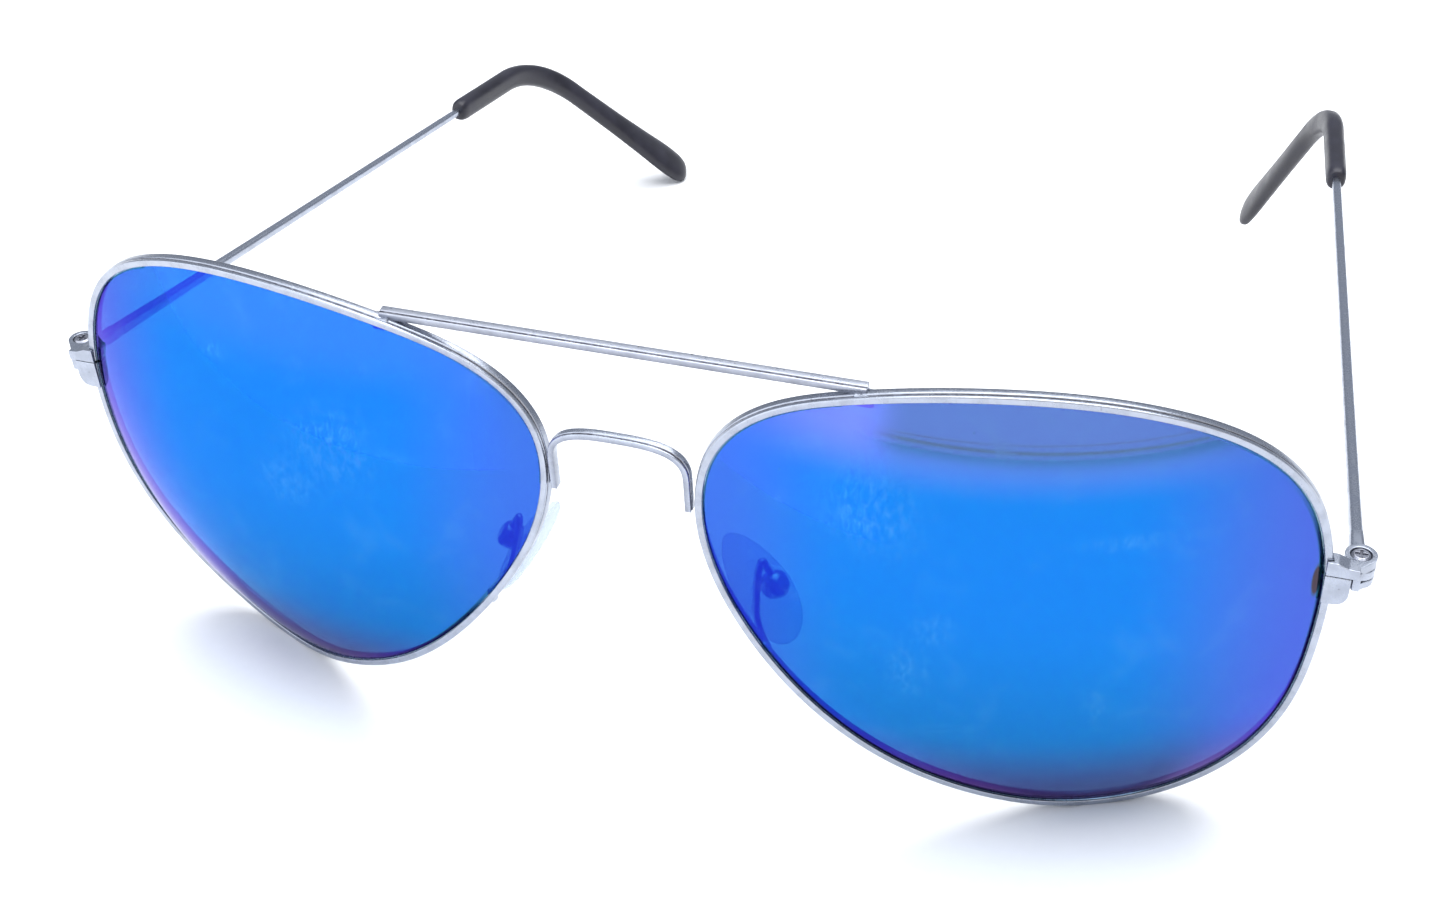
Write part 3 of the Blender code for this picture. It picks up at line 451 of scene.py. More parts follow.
def lens_spline(angles):
    """Radius of the rim's inner edge at each angle, by a periodic cubic spline."""
    knots = np.array(LENS_RADII)
    count = len(knots)
    step = 2 * pi / count
    bend = 4 * np.eye(count) + np.roll(np.eye(count), 1, axis=1) + np.roll(np.eye(count), -1, axis=1)
    change = np.roll(knots, -1) - 2 * knots + np.roll(knots, 1)
    second = np.linalg.solve(bend, 6 * change / step**2)
    place = np.mod(np.array(angles), 2 * pi) / step
    first = np.floor(place).astype(int) % count
    after = (first + 1) % count
    t = place - np.floor(place)
    s = 1 - t
    curved = ((s**3 - s) * second[first] + (t**3 - t) * second[after]) * step**2 / 6
    return s * knots[first] + t * knots[after] + curved


def sag(u, v):
    """Depth of the lens's front sphere behind its middle."""
    across = u * u + v * v
    return across / (LENS_CURVE_RADIUS + sqrt(LENS_CURVE_RADIUS**2 - across))


def rim_point(angle, radius, outward_by, backward, side):
    """A point of the rim's section, in its eye's frame."""
    depth = sag(radius * cos(angle), radius * sin(angle)) + backward
    return Vector((side * (radius + outward_by) * cos(angle), depth, (radius + outward_by) * sin(angle)))


# ---------------------------------------------------------------- materials

class Nodes:
    """A short way to write a material's node tree."""

    def __init__(self, name):
        self.material = bpy.data.materials.new(name)
        self.material.use_nodes = True
        self.tree = self.material.node_tree
        self.tree.nodes.clear()
        self.output = self.add("OutputMaterial")

    def add(self, kind, inputs=(), **settings):
        node = self.tree.nodes.new("ShaderNode" + kind)
        for key, value in settings.items():
            setattr(node, key, value)
        for key, value in dict(inputs).items():
            if isinstance(value, bpy.types.NodeSocket):
                self.tree.links.new(value, node.inputs[key])
            else:
                node.inputs[key].default_value = value
        return node

    def place(self, squeeze=(1.0, 1.0, 1.0)):
        """Place on the piece in millimetres, times squeeze."""
        kept = self.add("Attribute", attribute_name="place_mm", attribute_type="GEOMETRY")
        mapping = self.add("Mapping", {"Vector": kept.outputs["Vector"], "Scale": squeeze})
        return mapping.outputs["Vector"]

    def noise(self, vector, scale, detail=3.0, roughness=0.55, distortion=0.0):
        inputs = {"Vector": vector, "Scale": scale, "Detail": detail, "Roughness": roughness,
                  "Distortion": distortion}
        return self.add("TexNoise", inputs).outputs["Fac"]

    def spread(self, value, low, high, to_low=0.0, to_high=1.0, kind="SMOOTHSTEP"):
        node = self.add("MapRange", {"Value": value, "From Min": low, "From Max": high, "To Min": to_low,
                                     "To Max": to_high}, interpolation_type=kind)
        return node.outputs["Result"]

    def math(self, operation, a, b=0.0):
        return self.add("Math", {0: a, 1: b}, operation=operation).outputs[0]

    def blend(self, factor, a, b, kind="MIX"):
        node = self.add("Mix", {"Factor": factor}, data_type="RGBA", blend_type=kind)
        for index, value in ((6, a), (7, b)):
            if isinstance(value, bpy.types.NodeSocket):
                self.tree.links.new(value, node.inputs[index])
            else:
                node.inputs[index].default_value = (*value, 1.0)
        return node.outputs[2]

    def bump(self, height, strength, distance=0.05 * MM):
        node = self.add("Bump", {"Height": height, "Strength": strength, "Distance": distance})
        return node.outputs["Normal"]

    def show(self, shader):
        self.tree.links.new(shader, self.output.inputs["Surface"])
        return self.material


def spot(nodes, u, v, at_u, at_v, half_u, half_v, edge=0.5):
    """1 inside an ellipse of the lens's face, falling to 0 outside it."""
    du = nodes.math("DIVIDE", nodes.math("SUBTRACT", u, at_u), half_u)
    dv = nodes.math("DIVIDE", nodes.math("SUBTRACT", v, at_v), half_v)
    away = nodes.math("SQRT", nodes.math("ADD", nodes.math("MULTIPLY", du, du),
                                         nodes.math("MULTIPLY", dv, dv)))
    return nodes.spread(away, edge, 1.0, 1.0, 0.0)


def silver_material(name, colour, roughness, grain=(1.0, 1.0, 1.0), nicks=0.5):
    """Satin plating: fine grain, cloudy wear in the gloss, a few dark nicks, and painted shade in its
    grooves.
    """
    n = Nodes(name)
    place = n.place()
    grain_noise = n.noise(n.place(squeeze=grain), 9.0, 4.0, 0.7)
    cloud = n.noise(place, 0.55, 3.0)
    pits = n.add("TexVoronoi", {"Vector": place, "Scale": 1.1, "Randomness": 1.0}, feature="F1")
    pit = n.spread(pits.outputs["Distance"], 0.06, 0.13, 1.0, 0.0)
    rare = n.spread(n.noise(place, 0.35, 1.0), 0.60, 0.66)
    mark = n.math("MULTIPLY", n.math("MULTIPLY", pit, rare), nicks)
    dull = n.spread(cloud, 0.35, 0.70)
    base = n.blend(dull, colour, tuple(0.84 * c for c in colour))
    base = n.blend(mark, base, NICK_COLOUR)
    # Painted shade in grooves and hollows, uneven along them, darkens the plating.
    painted_shade = n.add("Attribute", attribute_name="painted_shade", attribute_type="GEOMETRY").outputs["Fac"]
    uneven = n.spread(n.noise(place, 1.6, 4.0, 0.7), 0.25, 0.65, 0.55, 1.0)
    base = n.blend(n.math("MULTIPLY", painted_shade, uneven), base, GROOVE_SHADE_COLOUR)
    rough = n.spread(n.math("ADD", n.math("MULTIPLY", grain_noise, 0.5), n.math("MULTIPLY", cloud, 0.5)),
                     0.32, 0.68, *roughness)
    height = n.math("SUBTRACT", n.math("MULTIPLY", grain_noise, 0.35), mark)
    shader = n.add("BsdfPrincipled", {"Base Color": base, "Roughness": rough, "Metallic": 1.0,
                                      "Normal": n.bump(height, 0.35)})
    return n.show(shader.outputs["BSDF"])


def coat_zones(n, u, v, edge, side_name):
    """How far each zone of the mirror coat reaches at a place on the lens, from 0 to 1: painted reflection
    at the top, edges and bottom, painted groove shade in the line along the rim, and the brownish patch.
    """
    low_side = n.spread(n.math("SUBTRACT", n.math("MULTIPLY", u, 0.35), v), -12.0, 0.0)
    return {
        # Painted reflection zones: top, outer, inner, low and low_edge.
        "deep": n.spread(v, 16.0, -14.0),
        "top": n.spread(v, 18.5, 24.5, 0.0, TOP_REFLECTION_GREY[side_name]),
        "outer": n.spread(u, 10.0, 28.0),
        "inner": n.spread(u, -14.0, -28.0, 0.0, 0.8),
        "low": n.spread(v, -9.0, -23.0),
        "low_edge": n.math("MULTIPLY", n.spread(v, -15.0, -23.5), n.spread(edge, 4.5, 0.5)),
        "patch": spot(n, u, v, *CUT_PATCH),
        # Painted shade of the rim's groove along the lens's edge, on its lower and outer side.
        "line": n.math("MULTIPLY", n.spread(edge, 0.62, 0.34), low_side),
    }


def coat_haze(n, u, v, place, streaks, side_name):
    """Smudges, streaky where fingers wiped, over a faint cloud that covers the whole lens."""
    smudges = [spot(n, u, v, *each) for each in SMUDGES[side_name]]
    haze = smudges[0]
    for smudge in smudges[1:]:
        haze = n.math("MAXIMUM", haze, smudge)
    haze = n.math("MULTIPLY", haze, n.spread(streaks, 0.42, 0.72))
    cloud = n.noise(place, 0.16, 4.0, 0.6, 0.8)
    faint = n.math("MULTIPLY", n.spread(cloud, 0.52, 0.74), 0.30)
    return n.math("MAXIMUM", haze, faint)


def lens_front_material(side_name):
    """Blue mirror coat: azure in the middle, with painted reflection violet to the edges, brown from the
    shaded floor at the bottom and grey at the top, painted groove shade along the rim, smudged and dusty.
    """
    n = Nodes(f"mirror_coat_{side_name}")
    split = n.add("SeparateXYZ", {"Vector": n.place(squeeze=(SIDES[side_name], 1.0, 1.0))})
    u, v = split.outputs["X"], split.outputs["Z"]
    edge = n.add("Attribute", attribute_name="edge", attribute_type="GEOMETRY").outputs["Fac"]
    place = n.place()
    zones = coat_zones(n, u, v, edge, side_name)

    # The coat's colour with painted reflection: deeper blue towards the bottom, grey at the top, violet at
    # the nose, temple and bottom, and the shaded floor's brown along the bottom edge.
    base = n.blend(zones["deep"], COAT_MIDDLE, COAT_DEEP)
    for zone, colour in (("top", COAT_TOP_REFLECTION), ("inner", COAT_INNER_REFLECTION_TINT), ("outer", COAT_OUTER_REFLECTION_TINT), ("low", COAT_LOW_REFLECTION),
                         ("low_edge", COAT_LOW_EDGE_SHADOW_REFLECTION), ("patch", COAT_PATCH), ("line", COAT_EDGE_SHADE)):
        base = n.blend(zones[zone], base, colour)

    streaks = n.noise(n.place(squeeze=(1.0, 1.0, 0.45)), 1.7, 6.0, 0.75, 0.6)
    haze = coat_haze(n, u, v, place, streaks, side_name)
    dust = n.add("TexVoronoi", {"Vector": place, "Scale": 0.42, "Randomness": 1.0}, feature="F1")
    speck = n.spread(dust.outputs["Distance"], 0.022, 0.040, 1.0, 0.0)
    base = n.blend(n.math("MULTIPLY", haze, 0.26), base, SMUDGE_COLOUR)
    base = n.blend(n.math("MULTIPLY", speck, 0.55), base, DUST_COLOUR)
    rough = n.math("ADD", n.math("MULTIPLY", haze, 0.20), 0.045)
    ripple = n.math("ADD", n.math("MULTIPLY", streaks, 0.03), n.math("MULTIPLY", speck, 0.2))
    mirror = n.add("BsdfPrincipled", {"Base Color": base, "Metallic": 1.0, "Roughness": rough,
                                      "Normal": n.bump(ripple, 0.12)})
    mirror.inputs["Specular Tint"].default_value = COAT_GRAZING

    through = n.blend(zones["inner"], CLEAR_MIDDLE, CLEAR_INNER)
    for zone, colour in (("outer", CLEAR_OUTER), ("low", CLEAR_LOW), ("top", CLEAR_TOP)):
        through = n.blend(zones[zone], through, colour)
    clear = n.add("BsdfTransparent", {"Color": through})
    # Where the painted groove shade and the brownish patch close the coat to light.
    closed = n.math("MULTIPLY", n.math("MAXIMUM", zones["line"], zones["patch"]), COAT_EDGE_SHADE_SHARE)
    share = n.math("MAXIMUM", closed, COAT_SHARE)
    mixed = n.add("MixShader", {0: share, 1: clear.outputs[0], 2: mirror.outputs["BSDF"]})
    return n.show(mixed.outputs[0])


def lens_back_material():
    """The lens's tinted back and edge: grey glass with a plain gloss."""
    n = Nodes("lens_tint")
    place = n.place()
    cloud = n.noise(place, 0.2, 4.0, 0.6, 0.5)
    base = n.blend(cloud, (0.016, 0.018, 0.024), (0.028, 0.030, 0.040))
    rough = n.spread(n.noise(place, 1.3, 4.0), 0.4, 0.7, 0.05, 0.13)
    gloss = n.add("BsdfPrincipled", {"Base Color": base, "Roughness": rough, "IOR": 1.5})
    clear = n.add("BsdfTransparent", {"Color": (0.62, 0.74, 0.80, 1.0)})
    mixed = n.add("MixShader", {0: 0.22, 1: clear.outputs[0], 2: gloss.outputs["BSDF"]})
    return n.show(mixed.outputs[0])


def tip_material():
    """Satin black plastic with a faint moulded grain and rubbed places."""
    n = Nodes("tip_plastic")
    place = n.place()
    cloud = n.noise(place, 0.22, 4.0, 0.6)
    grain = n.noise(place, 6.0, 3.0, 0.6)
    base = n.blend(n.spread(cloud, 0.35, 0.7), (0.007, 0.006, 0.012), (0.014, 0.013, 0.024))
    rough = n.spread(n.math("ADD", n.math("MULTIPLY", cloud, 0.7), n.math("MULTIPLY", grain, 0.3)),
                     0.35, 0.65, 0.30, 0.46)
    shader = n.add("BsdfPrincipled", {"Base Color": base, "Roughness": rough,
                                      "Normal": n.bump(grain, 0.18)})
    shader.inputs["Specular IOR Level"].default_value = 0.45
    return n.show(shader.outputs["BSDF"])


def pad_material():
    """Clear silicone, slightly clouded, with fine handling marks; it shows most at its edges."""
    n = Nodes("pad_silicone")
    place = n.place()
    cloud = n.noise(place, 0.5, 4.0, 0.6)
    marks = n.noise(n.place((1.0, 0.3, 1.0)), 5.0, 3.0, 0.6)
    base = n.blend(n.spread(cloud, 0.3, 0.75), (0.72, 0.76, 0.82), (0.58, 0.63, 0.72))
    rough = n.spread(marks, 0.35, 0.7, 0.08, 0.22)
    gloss = n.add("BsdfPrincipled", {"Base Color": base, "Roughness": rough, "IOR": 1.41,
                                     "Normal": n.bump(marks, 0.10)})
    clear = n.add("BsdfTransparent", {"Color": (0.86, 0.90, 0.95, 1.0)})
    facing = n.add("LayerWeight", {"Blend": 0.35}).outputs["Facing"]
    mixed = n.add("MixShader", {0: n.spread(facing, 0.0, 1.0, 0.08, 0.60), 1: clear.outputs[0],
                                2: gloss.outputs["BSDF"]})
    return n.show(mixed.outputs[0])


# ---------------------------------------------------------------- rims and lenses

def build_rim(side_name, material):
    side = SIDES[side_name]
    half_gap = RIM_CUT_GAP / 2 / LENS_RADII[0]
    start = radians(RIM_CUT_ANGLE) + half_gap
    angles = np.linspace(start, start + 2 * pi - 2 * half_gap, RIM_STEPS + 1)
    radii = lens_spline(angles)
    section = soften(RIM_SECTION, RIM_ROUNDING)
    rings = [[rim_point(a, r, out, back, side) for out, back in section] for a, r in zip(angles, radii)]
    points, faces = outward(*loft(rings))
    piece = make_piece(f"rim_wire_{side_name}", points, faces, eye_frame(side), "front",
                       [material])
    # Painted shade along the grooves of the rim's profile.
    mark_painted_shade(piece.data, profile_painted_shade(len(RIM_SECTION), RIM_GROOVE_SHADE, len(rings)))
    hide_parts(f"rim_{side_name}")


def build_lens(side_name, front_material, back_material):
    """Front and back spheres, joined by a bevelled edge in the rim's groove."""
    side = SIDES[side_name]
    angles = np.linspace(0, 2 * pi, LENS_STEPS, endpoint=False)
    radii = lens_spline(angles)
    points, edge, faces, slots = [], [], [], []

    def add_ring(make_point):
        start = len(points)
        for angle, radius in zip(angles, radii):
            point, from_edge = make_point(angle, radius)
            points.append(point)
            edge.append(from_edge)
        return start

    def on_face(scale, depth):
        def make_point(angle, radius):
            reach = (radius - LENS_EDGE_CLEARANCE) * scale
            u, v = reach * cos(angle), reach * sin(angle)
            return Vector((side * u, sag(u, v) + depth, v)), radius - reach
        return make_point

    def on_edge(out, back):
        return lambda angle, radius: (rim_point(angle, radius, out, back, side), 0.0)

    scales = [1 - (1 - k / LENS_RINGS) ** LENS_CROWDING for k in range(1, LENS_RINGS + 1)]
    chain = [(add_ring(on_face(s, LENS_RECESS)), 0) for s in scales]
    chain += [(add_ring(on_edge(out, back)), 1) for out, back in LENS_EDGE]
    chain += [(add_ring(on_face(s, LENS_RECESS + LENS_THICKNESS)), 1) for s in reversed(scales)]
    for (low, _), (high, kind) in zip(chain, chain[1:]):
        for i in range(LENS_STEPS):
            j = (i + 1) % LENS_STEPS
            faces.append((low + i, low + j, high + j, high + i))
            slots.append(kind)
    for (ring, kind), depth in ((chain[0], LENS_RECESS), (chain[-1], LENS_RECESS + LENS_THICKNESS)):
        centre = len(points)
        points.append(Vector((0, depth, 0)))
        edge.append(LENS_RADII[0])
        for i in range(LENS_STEPS):
            j = (i + 1) % LENS_STEPS
            faces.append((ring + j, ring + i, centre) if kind == 0 else (ring + i, ring + j, centre))
            slots.append(kind)
    points, faces = outward(points, faces)
    piece = make_piece(f"mirror_lens_{side_name}", points, faces, eye_frame(side), "front",
                       [front_material, back_material], sharp=60.0)
    piece.data.polygons.foreach_set("material_index", slots)
    piece.data.attributes.new("edge", "FLOAT", "POINT").data.foreach_set("value", edge)
    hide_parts(f"lens_{side_name}")


# ---------------------------------------------------------------- brow bar and bridge

def build_brow_bar(material):
    section = soften(BAR_SECTION, BAR_ROUNDING)
    ends = ((-BAR_HALF_LENGTH, 0.90), (-BAR_HALF_LENGTH + 0.05, 0.98), (-BAR_HALF_LENGTH + 0.12, 1.0))
    places = list(ends) + [(x, 1.0) for x in np.linspace(-BAR_HALF_LENGTH + 1, BAR_HALF_LENGTH - 1, 40)]
    places += [(-x, scale) for x, scale in reversed(ends)]
    rings = [[Vector((x, BAR_Y + y * scale, BAR_Z + z * scale)) for y, z in section]
             for x, scale in places]
    points, faces = outward(*loft(rings))
    piece = make_piece("brow_bar_wire", points, faces, Matrix.Identity(4), "front",
                       [material])
    # Painted shade along the brow bar's groove.
    mark_painted_shade(piece.data, profile_painted_shade(len(BAR_SECTION), BAR_GROOVE_SHADE, len(rings)))
    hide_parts("brow_bar")


def build_bar_foot(side_name, material):
    """The little block under the end of the brow bar, sunk into the solder on the rim."""
    side = SIDES[side_name]
    middle_x, half_x = side * sum(FOOT_X) / 2, (FOOT_X[1] - FOOT_X[0]) / 2
    middle_y, half_y = sum(FOOT_Y) / 2, (FOOT_Y[1] - FOOT_Y[0]) / 2
    levels = ((FOOT_Z[0], 0.94), (FOOT_Z[0] + 0.3, 1.0), (FOOT_Z[1] - 0.35, 1.0), (FOOT_Z[1] - 0.12, 0.94),
              (FOOT_Z[1], 0.82))
    rings = [[Vector((middle_x + x * scale, middle_y + y * scale, z))
              for x, y in rounded(half_x, half_y, 32, 5.0)] for z, scale in levels]
    points, faces = outward(*loft(rings))
    make_piece(f"bar_foot_{side_name}", points, faces, Matrix.Identity(4), "front",
               [material])
    build_solder(f"foot_solder_{side_name}", (middle_x, middle_y, FOOT_Z[0] + 0.3), FOOT_SOLDER, 5, material)


def build_bridge(material):
    section = soften(BRIDGE_SECTION, BAR_ROUNDING)
    half = [(BRIDGE_LEG_X, BRIDGE_FOOT_Z), (BRIDGE_LEG_X, BRIDGE_SPRING_Z - 0.6)]
    quarter = BRIDGE_STEPS // 2
    for i in range(quarter):
        angle = pi / 2 * i / quarter
        half.append((BRIDGE_LEG_X * cos(angle) ** (2 / BRIDGE_POWER),
                     BRIDGE_SPRING_Z + BRIDGE_RISE * sin(angle) ** (2 / BRIDGE_POWER)))
    path = half + [(0.0, BRIDGE_SPRING_Z + BRIDGE_RISE)] + [(-x, z) for x, z in reversed(half)]
    rings = []
    for i, (x, z) in enumerate(path):
        before, after = path[max(i - 1, 0)], path[min(i + 1, len(path) - 1)]
        run = Vector((after[0] - before[0], after[1] - before[1])).normalized()
        rise = (z - BRIDGE_FOOT_Z) / (BRIDGE_SPRING_Z + BRIDGE_RISE - BRIDGE_FOOT_Z)
        y = BRIDGE_Y[0] + (BRIDGE_Y[1] - BRIDGE_Y[0]) * rise
        rings.append([Vector((x + run[1] * up, y + back, z - run[0] * up)) for back, up in section])
    points, faces = outward(*loft(rings))
    piece = make_piece("bridge_wire", points, faces, Matrix.Identity(4), "front",
                       [material])
    # Painted shade along the bridge's groove.
    mark_painted_shade(piece.data, profile_painted_shade(len(BRIDGE_SECTION), BRIDGE_GROOVE_SHADE, len(rings)))
    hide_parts("bridge")


# ---------------------------------------------------------------- temples

def temple_line(side_name):
    """Place, direction and inner side of the temple's middle line, drawn for the +X side."""
    drop, roll = radians(TEMPLE_DROP[side_name]), radians(TEMPLE_ROLL[side_name])
    ahead = Vector((0, cos(drop), -sin(drop)))
    up = Vector((0, sin(drop), cos(drop)))
    low = -up * cos(roll) + Vector((-1, 0, 0)) * sin(roll)
    start = Vector((TEMPLE_OFFSET, 0, 0))
    centre = start + ahead * TEMPLE_BEND_START + low * TEMPLE_BEND_RADIUS
    bend_length = TEMPLE_BEND_RADIUS * radians(TEMPLE_BEND_ANGLE)

    def line(distance):
        past = distance - TEMPLE_BEND_START
        if past <= 0:
            return start + ahead * distance, ahead, low, 0.0
        angle = min(past, bend_length) / TEMPLE_BEND_RADIUS
        heading = ahead * cos(angle) + low * sin(angle)
        inner = -ahead * sin(angle) + low * cos(angle)
        place = centre - inner * TEMPLE_BEND_RADIUS
        return place + heading * max(past - bend_length, 0), heading, inner, min(past / bend_length, 1.0)

    return line


def temple_ring(line, distance, outline, side):
    """A section across the temple, which turns from level into the plane of the bend."""
    place, heading, inner, roll_in = line(distance)
    level_up = (Vector((0, 0, 1)) - heading * heading.z).normalized()
    tall = (level_up * (1 - roll_in) - inner * roll_in).normalized()
    across = heading.cross(tall)
    points = [place + across * x + tall * y for x, y in outline]
    return [Vector((side * p.x, p.y, p.z)) for p in points]


def build_temple(side_name, metal, plastic):
    side = SIDES[side_name]
    line = temple_line(side_name)
    body = f"temple_{side_name}"
    stations = sorted(set([row[0] for row in WIRE_SIZES] + list(np.arange(6.0, 81.0, WIRE_STATION_STEP))))
    rings = [temple_ring(line, d, rounded(*smooth_table(WIRE_SIZES, d), 28, 2.8), side) for d in stations]
    points, faces = outward(*loft(rings))
    piece = make_piece(f"temple_wire_{side_name}", points, faces, temple_frame(side), body,
                       [metal])
    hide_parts(f"temple_{side_name}")

    stations = sorted(set([row[0] for row in TIP_SIZES] + list(np.arange(1.0, 55.0, TIP_STATION_STEP))))
    rings = [temple_ring(line, TIP_START + d, rounded(*smooth_table(TIP_SIZES, d), 40), side)
             for d in stations]
    points, faces = outward(*loft(rings))
    piece = make_piece(f"ear_tip_{side_name}", points, faces, temple_frame(side), body,
                       [plastic], sharp=50.0)
    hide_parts(f"temple_tip_{side_name}")


# ---------------------------------------------------------------- nose pads

def build_nose_pad(side_name, material):
    """A soft teardrop with domed faces, narrower at its top, and a stub on its back."""
    half_width, half_length = PAD_HALF
    middle, half = PAD_BACK - PAD_THICKNESS / 2, PAD_THICKNESS / 2
    rings = []
    for k in range(1, PAD_RINGS):
        angle = pi * k / PAD_RINGS
        scale, height = sin(angle) ** PAD_FULLNESS, -cos(angle)
        ring = []
        for a in np.linspace(0, 2 * pi, PAD_SIDES, endpoint=False):
            x = half_width * (1 - PAD_NARROWING * sin(a)) * scale * cos(a)
            ring.append(Vector((x, half_length * scale * sin(a), middle + half * height)))
        rings.append(ring)
    points, faces = outward(*loft(rings))
    stub_x, stub_y, stub_top = PAD_STUB
    levels = ((PAD_BACK - 0.6, 1.0), (stub_top - 0.15, 1.0), (stub_top - 0.04, 0.94), (stub_top, 0.80))
    stub = [[Vector((x * scale, y * scale, z)) for x, y in rounded(stub_x, stub_y, 24, 4.0)]
            for z, scale in levels]
    stub_points, stub_faces = outward(*loft(stub))
    shift = len(points)
    faces = list(faces) + [tuple(shift + i for i in face) for face in stub_faces]
    piece = make_piece(f"silicone_pad_{side_name}", list(points) + list(stub_points), faces,
                       pad_frame(SIDES[side_name]), f"nose_pad_{side_name}", [material],
                       sharp=60.0)
    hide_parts(f"nose_pad_{side_name}")


def build_pad_arm(side_name, material):
    side = SIDES[side_name]
    angle = radians(ARM_ROOT_ANGLE)
    root = eye_frame(side) @ rim_point(angle, float(lens_spline([angle])[0]), 0.30, RIM_DEPTH - 0.5, side)
    knots = [root] + [Vector((side * x, y, z)) for x, y, z in ARM_PATH]
    box_side = pad_frame(side) @ Vector((0, BOX_R - 0.1, 0.35))
    knots.append(box_side)
    route = smooth_route(knots, 12)
    radii = []
    for i in range(len(route)):
        root_share = max(0.0, 1 - i / ARM_ROOT_POINTS) ** 2
        end_share = max(0.0, 1 - (len(route) - 1 - i) / ARM_END_POINTS)
        radii.append(ARM_R * (1 + ARM_ROOT_SWELL * root_share + ARM_END_SWELL * end_share))
    points, faces = outward(*loft(sweep(route, radii, ARM_SIDES)))
    piece = make_piece(f"pad_wire_{side_name}", points, faces, Matrix.Identity(4), "front",
                       [material])
    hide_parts(f"pad_arm_{side_name}")
    build_solder(f"arm_solder_{side_name}", root, ARM_SOLDER, 3, material)


# ---------------------------------------------------------------- solder and small pieces

def build_solder(name, place, sizes, seed, material):
    """A flowed fillet of solder: a flattened blob with an uneven skin."""
    rng = np.random.default_rng(seed)
    waves = rng.normal(size=(SOLDER_WAVES, 3)) * 2.2
    phases = rng.uniform(0, 2 * pi, SOLDER_WAVES)
    rings = []
    for k in range(1, SOLDER_RINGS):
        polar = pi * k / SOLDER_RINGS
        ring = []
        for a in np.linspace(0, 2 * pi, SOLDER_SIDES, endpoint=False):
            way = Vector((sin(polar) * cos(a), sin(polar) * sin(a), cos(polar)))
            swell = 1 + SOLDER_SWELL * sum(sin(Vector(w).dot(way) + p) for w, p in zip(waves, phases))
            ring.append(Vector(place) + Vector([way[i] * sizes[i] * swell for i in range(3)]))
        rings.append(ring)
    points, faces = outward(*loft(rings))
    make_piece(name, points, faces, Matrix.Identity(4), "front", [material], sharp=70.0)


def build_rounded_copy(node, name, body, material, voxel, smoothing, keep):
    """The CAD node with its edges rounded: remeshed finely, smoothed and thinned."""
    source = frame["nodes"][node].data
    points = np.zeros(len(source.vertices) * 3)
    source.vertices.foreach_get("co", points)
    points = points.reshape(-1, 3) / MM
    centre = (points.min(0) + points.max(0)) / 2
    mesh = bpy.data.meshes.new(f"{name}_source")
    mesh.from_pydata([tuple(p) for p in points - centre], [], [tuple(f.vertices) for f in source.polygons])
    worker = bpy.data.objects.new(f"{name}_worker", mesh)
    bpy.context.scene.collection.objects.link(worker)
    weld = worker.modifiers.new("weld", "WELD")
    weld.merge_threshold = 0.0001
    remesh = worker.modifiers.new("remesh", "REMESH")
    remesh.mode = "VOXEL"
    remesh.voxel_size = voxel
    smooth = worker.modifiers.new("smooth", "SMOOTH")
    smooth.factor = 0.5
    smooth.iterations = smoothing
    thin = worker.modifiers.new("thin", "DECIMATE")
    thin.ratio = keep
    bpy.context.view_layer.update()
    graph = bpy.context.evaluated_depsgraph_get()
    result = bpy.data.meshes.new_from_object(worker.evaluated_get(graph))
    bpy.data.objects.remove(worker)
    bpy.data.meshes.remove(mesh)
    result.name = name
    result.transform(Matrix.Diagonal((MM, MM, MM, 1.0)))
    keep_places(result)
    result.transform(Matrix.Translation(Vector(centre) * MM))
    result.shade_smooth()
    # Painted shade in the piece's hollows, such as the screw's recess.
    hollow_painted_shade(result)
    piece = bpy.data.objects.new(name, result)
    bpy.context.scene.collection.objects.link(piece)
    result.materials.clear()
    result.materials.append(material)
    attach(piece, body)
    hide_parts(node)


# ---------------------------------------------------------------- floor, light and camera

def build_stage():
    """A pale sheet to stand on, and cards ahead that only the mirrors see."""
    n = Nodes("stage_paper")
    fibres = n.noise(n.add("TexCoord").outputs["Object"], 800.0, 4.0)
    base = n.blend(fibres, (0.90, 0.90, 0.90), (0.93, 0.93, 0.93))
    paper = n.show(n.add("BsdfPrincipled", {"Base Color": base, "Roughness": 0.9}).outputs["BSDF"])
    mesh = bpy.data.meshes.new("stage_floor")
    corners = [(x * FLOOR_REACH, y * FLOOR_REACH, 0) for x, y in ((-1, -1), (1, -1), (1, 1), (-1, 1))]
    mesh.from_pydata(corners, [], [(0, 1, 2, 3)])
    floor = bpy.data.objects.new("stage_floor", mesh)
    mesh.materials.append(paper)
    bpy.context.scene.collection.objects.link(floor)
    add_card("stage_card_white", *WHITE_CARD, CARD_FADE)
    add_card("stage_card_sky", *SKY_CARD)
    add_card("stage_edge_near", *NEAR_EDGE)
    add_card("stage_edge_far", *FAR_EDGE)


def add_card(name, span, y, z_first, z_second, colour, strength, fade=None):
    """A card that only mirrors see, which may thin out towards +X between two places."""
    n = Nodes(name)
    shader = n.add("Emission", {"Color": (*colour, 1.0), "Strength": strength}).outputs[0]
    if fade:
        across = n.add("SeparateXYZ", {"Vector": n.add("TexCoord").outputs["Object"]}).outputs["X"]
        nothing = n.add("BsdfTransparent").outputs[0]
        shader = n.add("MixShader", {0: n.spread(across, *fade), 1: shader, 2: nothing}).outputs[0]
    mesh = bpy.data.meshes.new(name)
    corners = [(span[0], y, z_first[0]), (span[1], y, z_second[0]), (span[1], y, z_second[1]),
               (span[0], y, z_first[1])]
    mesh.from_pydata(corners, [], [(0, 1, 2, 3)])
    mesh.materials.append(n.show(shader))
    card = bpy.data.objects.new(name, mesh)
    for kind in ("camera", "diffuse", "transmission", "volume_scatter", "shadow"):
        setattr(card, f"visible_{kind}", False)
    bpy.context.scene.collection.objects.link(card)


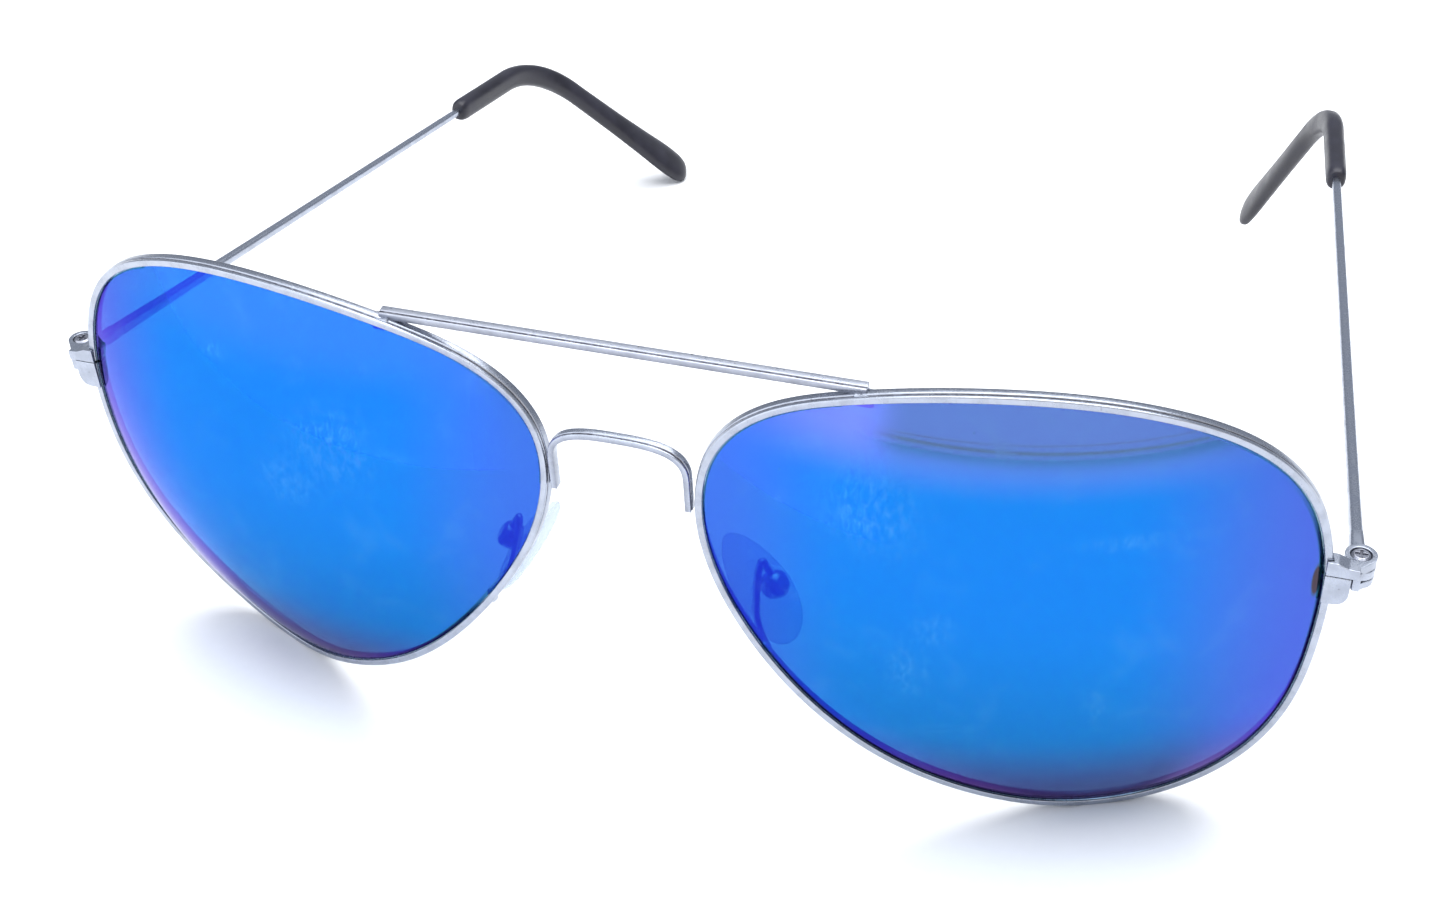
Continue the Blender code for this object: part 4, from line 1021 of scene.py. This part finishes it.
def add_area_light(name, place, target, size, power, colour):
    data = bpy.data.lights.new(name, "AREA")
    data.shape = "RECTANGLE"
    data.size, data.size_y = size
    data.energy = power
    data.color = colour
    lamp = bpy.data.objects.new(name, data)
    lamp.location = place
    way = Vector(target) - Vector(place)
    lamp.rotation_euler = way.to_track_quat("-Z", "Y").to_euler()
    bpy.context.scene.collection.objects.link(lamp)


def build_light():
    world = bpy.data.worlds.new("studio")
    world.use_nodes = True
    background = world.node_tree.nodes["Background"]
    background.inputs["Color"].default_value = WORLD_COLOUR
    background.inputs["Strength"].default_value = WORLD_STRENGTH
    bpy.context.scene.world = world
    add_area_light("key", *KEY_LIGHT)
    add_area_light("fill", *FILL_LIGHT)
    bpy.context.scene.view_settings.view_transform = "Standard"


def build_camera():
    data = bpy.data.cameras.new("camera")
    data.sensor_width = SENSOR_WIDTH
    data.lens = CAMERA_LENS
    data.clip_start = 0.005
    data.clip_end = 50.0
    camera = bpy.data.objects.new("camera", data)
    bpy.context.scene.collection.objects.link(camera)
    rotation_vector = Vector(CAMERA_TURN)
    axes = Matrix.Rotation(rotation_vector.length, 3, rotation_vector)
    right, down, ahead = axes[0], axes[1], axes[2]
    turned = Matrix((right, -down, -ahead)).transposed()
    camera.matrix_world = FRONT @ Matrix.Translation(Vector(CAMERA_AT) * MM) @ turned.to_4x4()
    bpy.context.scene.camera = camera


# ---------------------------------------------------------------- assembly

def main():
    build_camera()
    silver = silver_material("satin_silver_wire", WIRE_COLOUR, (0.18, 0.34))
    bar_silver = silver_material("satin_silver_bar", BAR_COLOUR, (0.24, 0.42), (0.25, 1.0, 1.0), 0.9)
    cast_silver = silver_material("satin_silver_cast", CAST_COLOUR, (0.20, 0.38))
    steel = silver_material("turned_steel", STEEL_COLOUR, (0.20, 0.34))
    small_materials = {"cast": cast_silver, "steel": steel}
    back = lens_back_material()
    plastic = tip_material()
    silicone = pad_material()

    build_brow_bar(bar_silver)
    build_bridge(silver)
    for side_name in SIDES:
        build_rim(side_name, silver)
        build_lens(side_name, lens_front_material(side_name), back)
        build_bar_foot(side_name, cast_silver)
        build_temple(side_name, silver, plastic)
        build_nose_pad(side_name, silicone)
        build_pad_arm(side_name, silver)
        for node, name, body, slot, material, voxel, smoothing, keep in SMALL_PIECES:
            build_rounded_copy(f"{node}_{side_name}", f"{name}_{side_name}",
                               body if body == "front" else f"{body}_{side_name}",
                               small_materials[material], voxel, smoothing, keep)
    build_stage()
    build_light()


main()
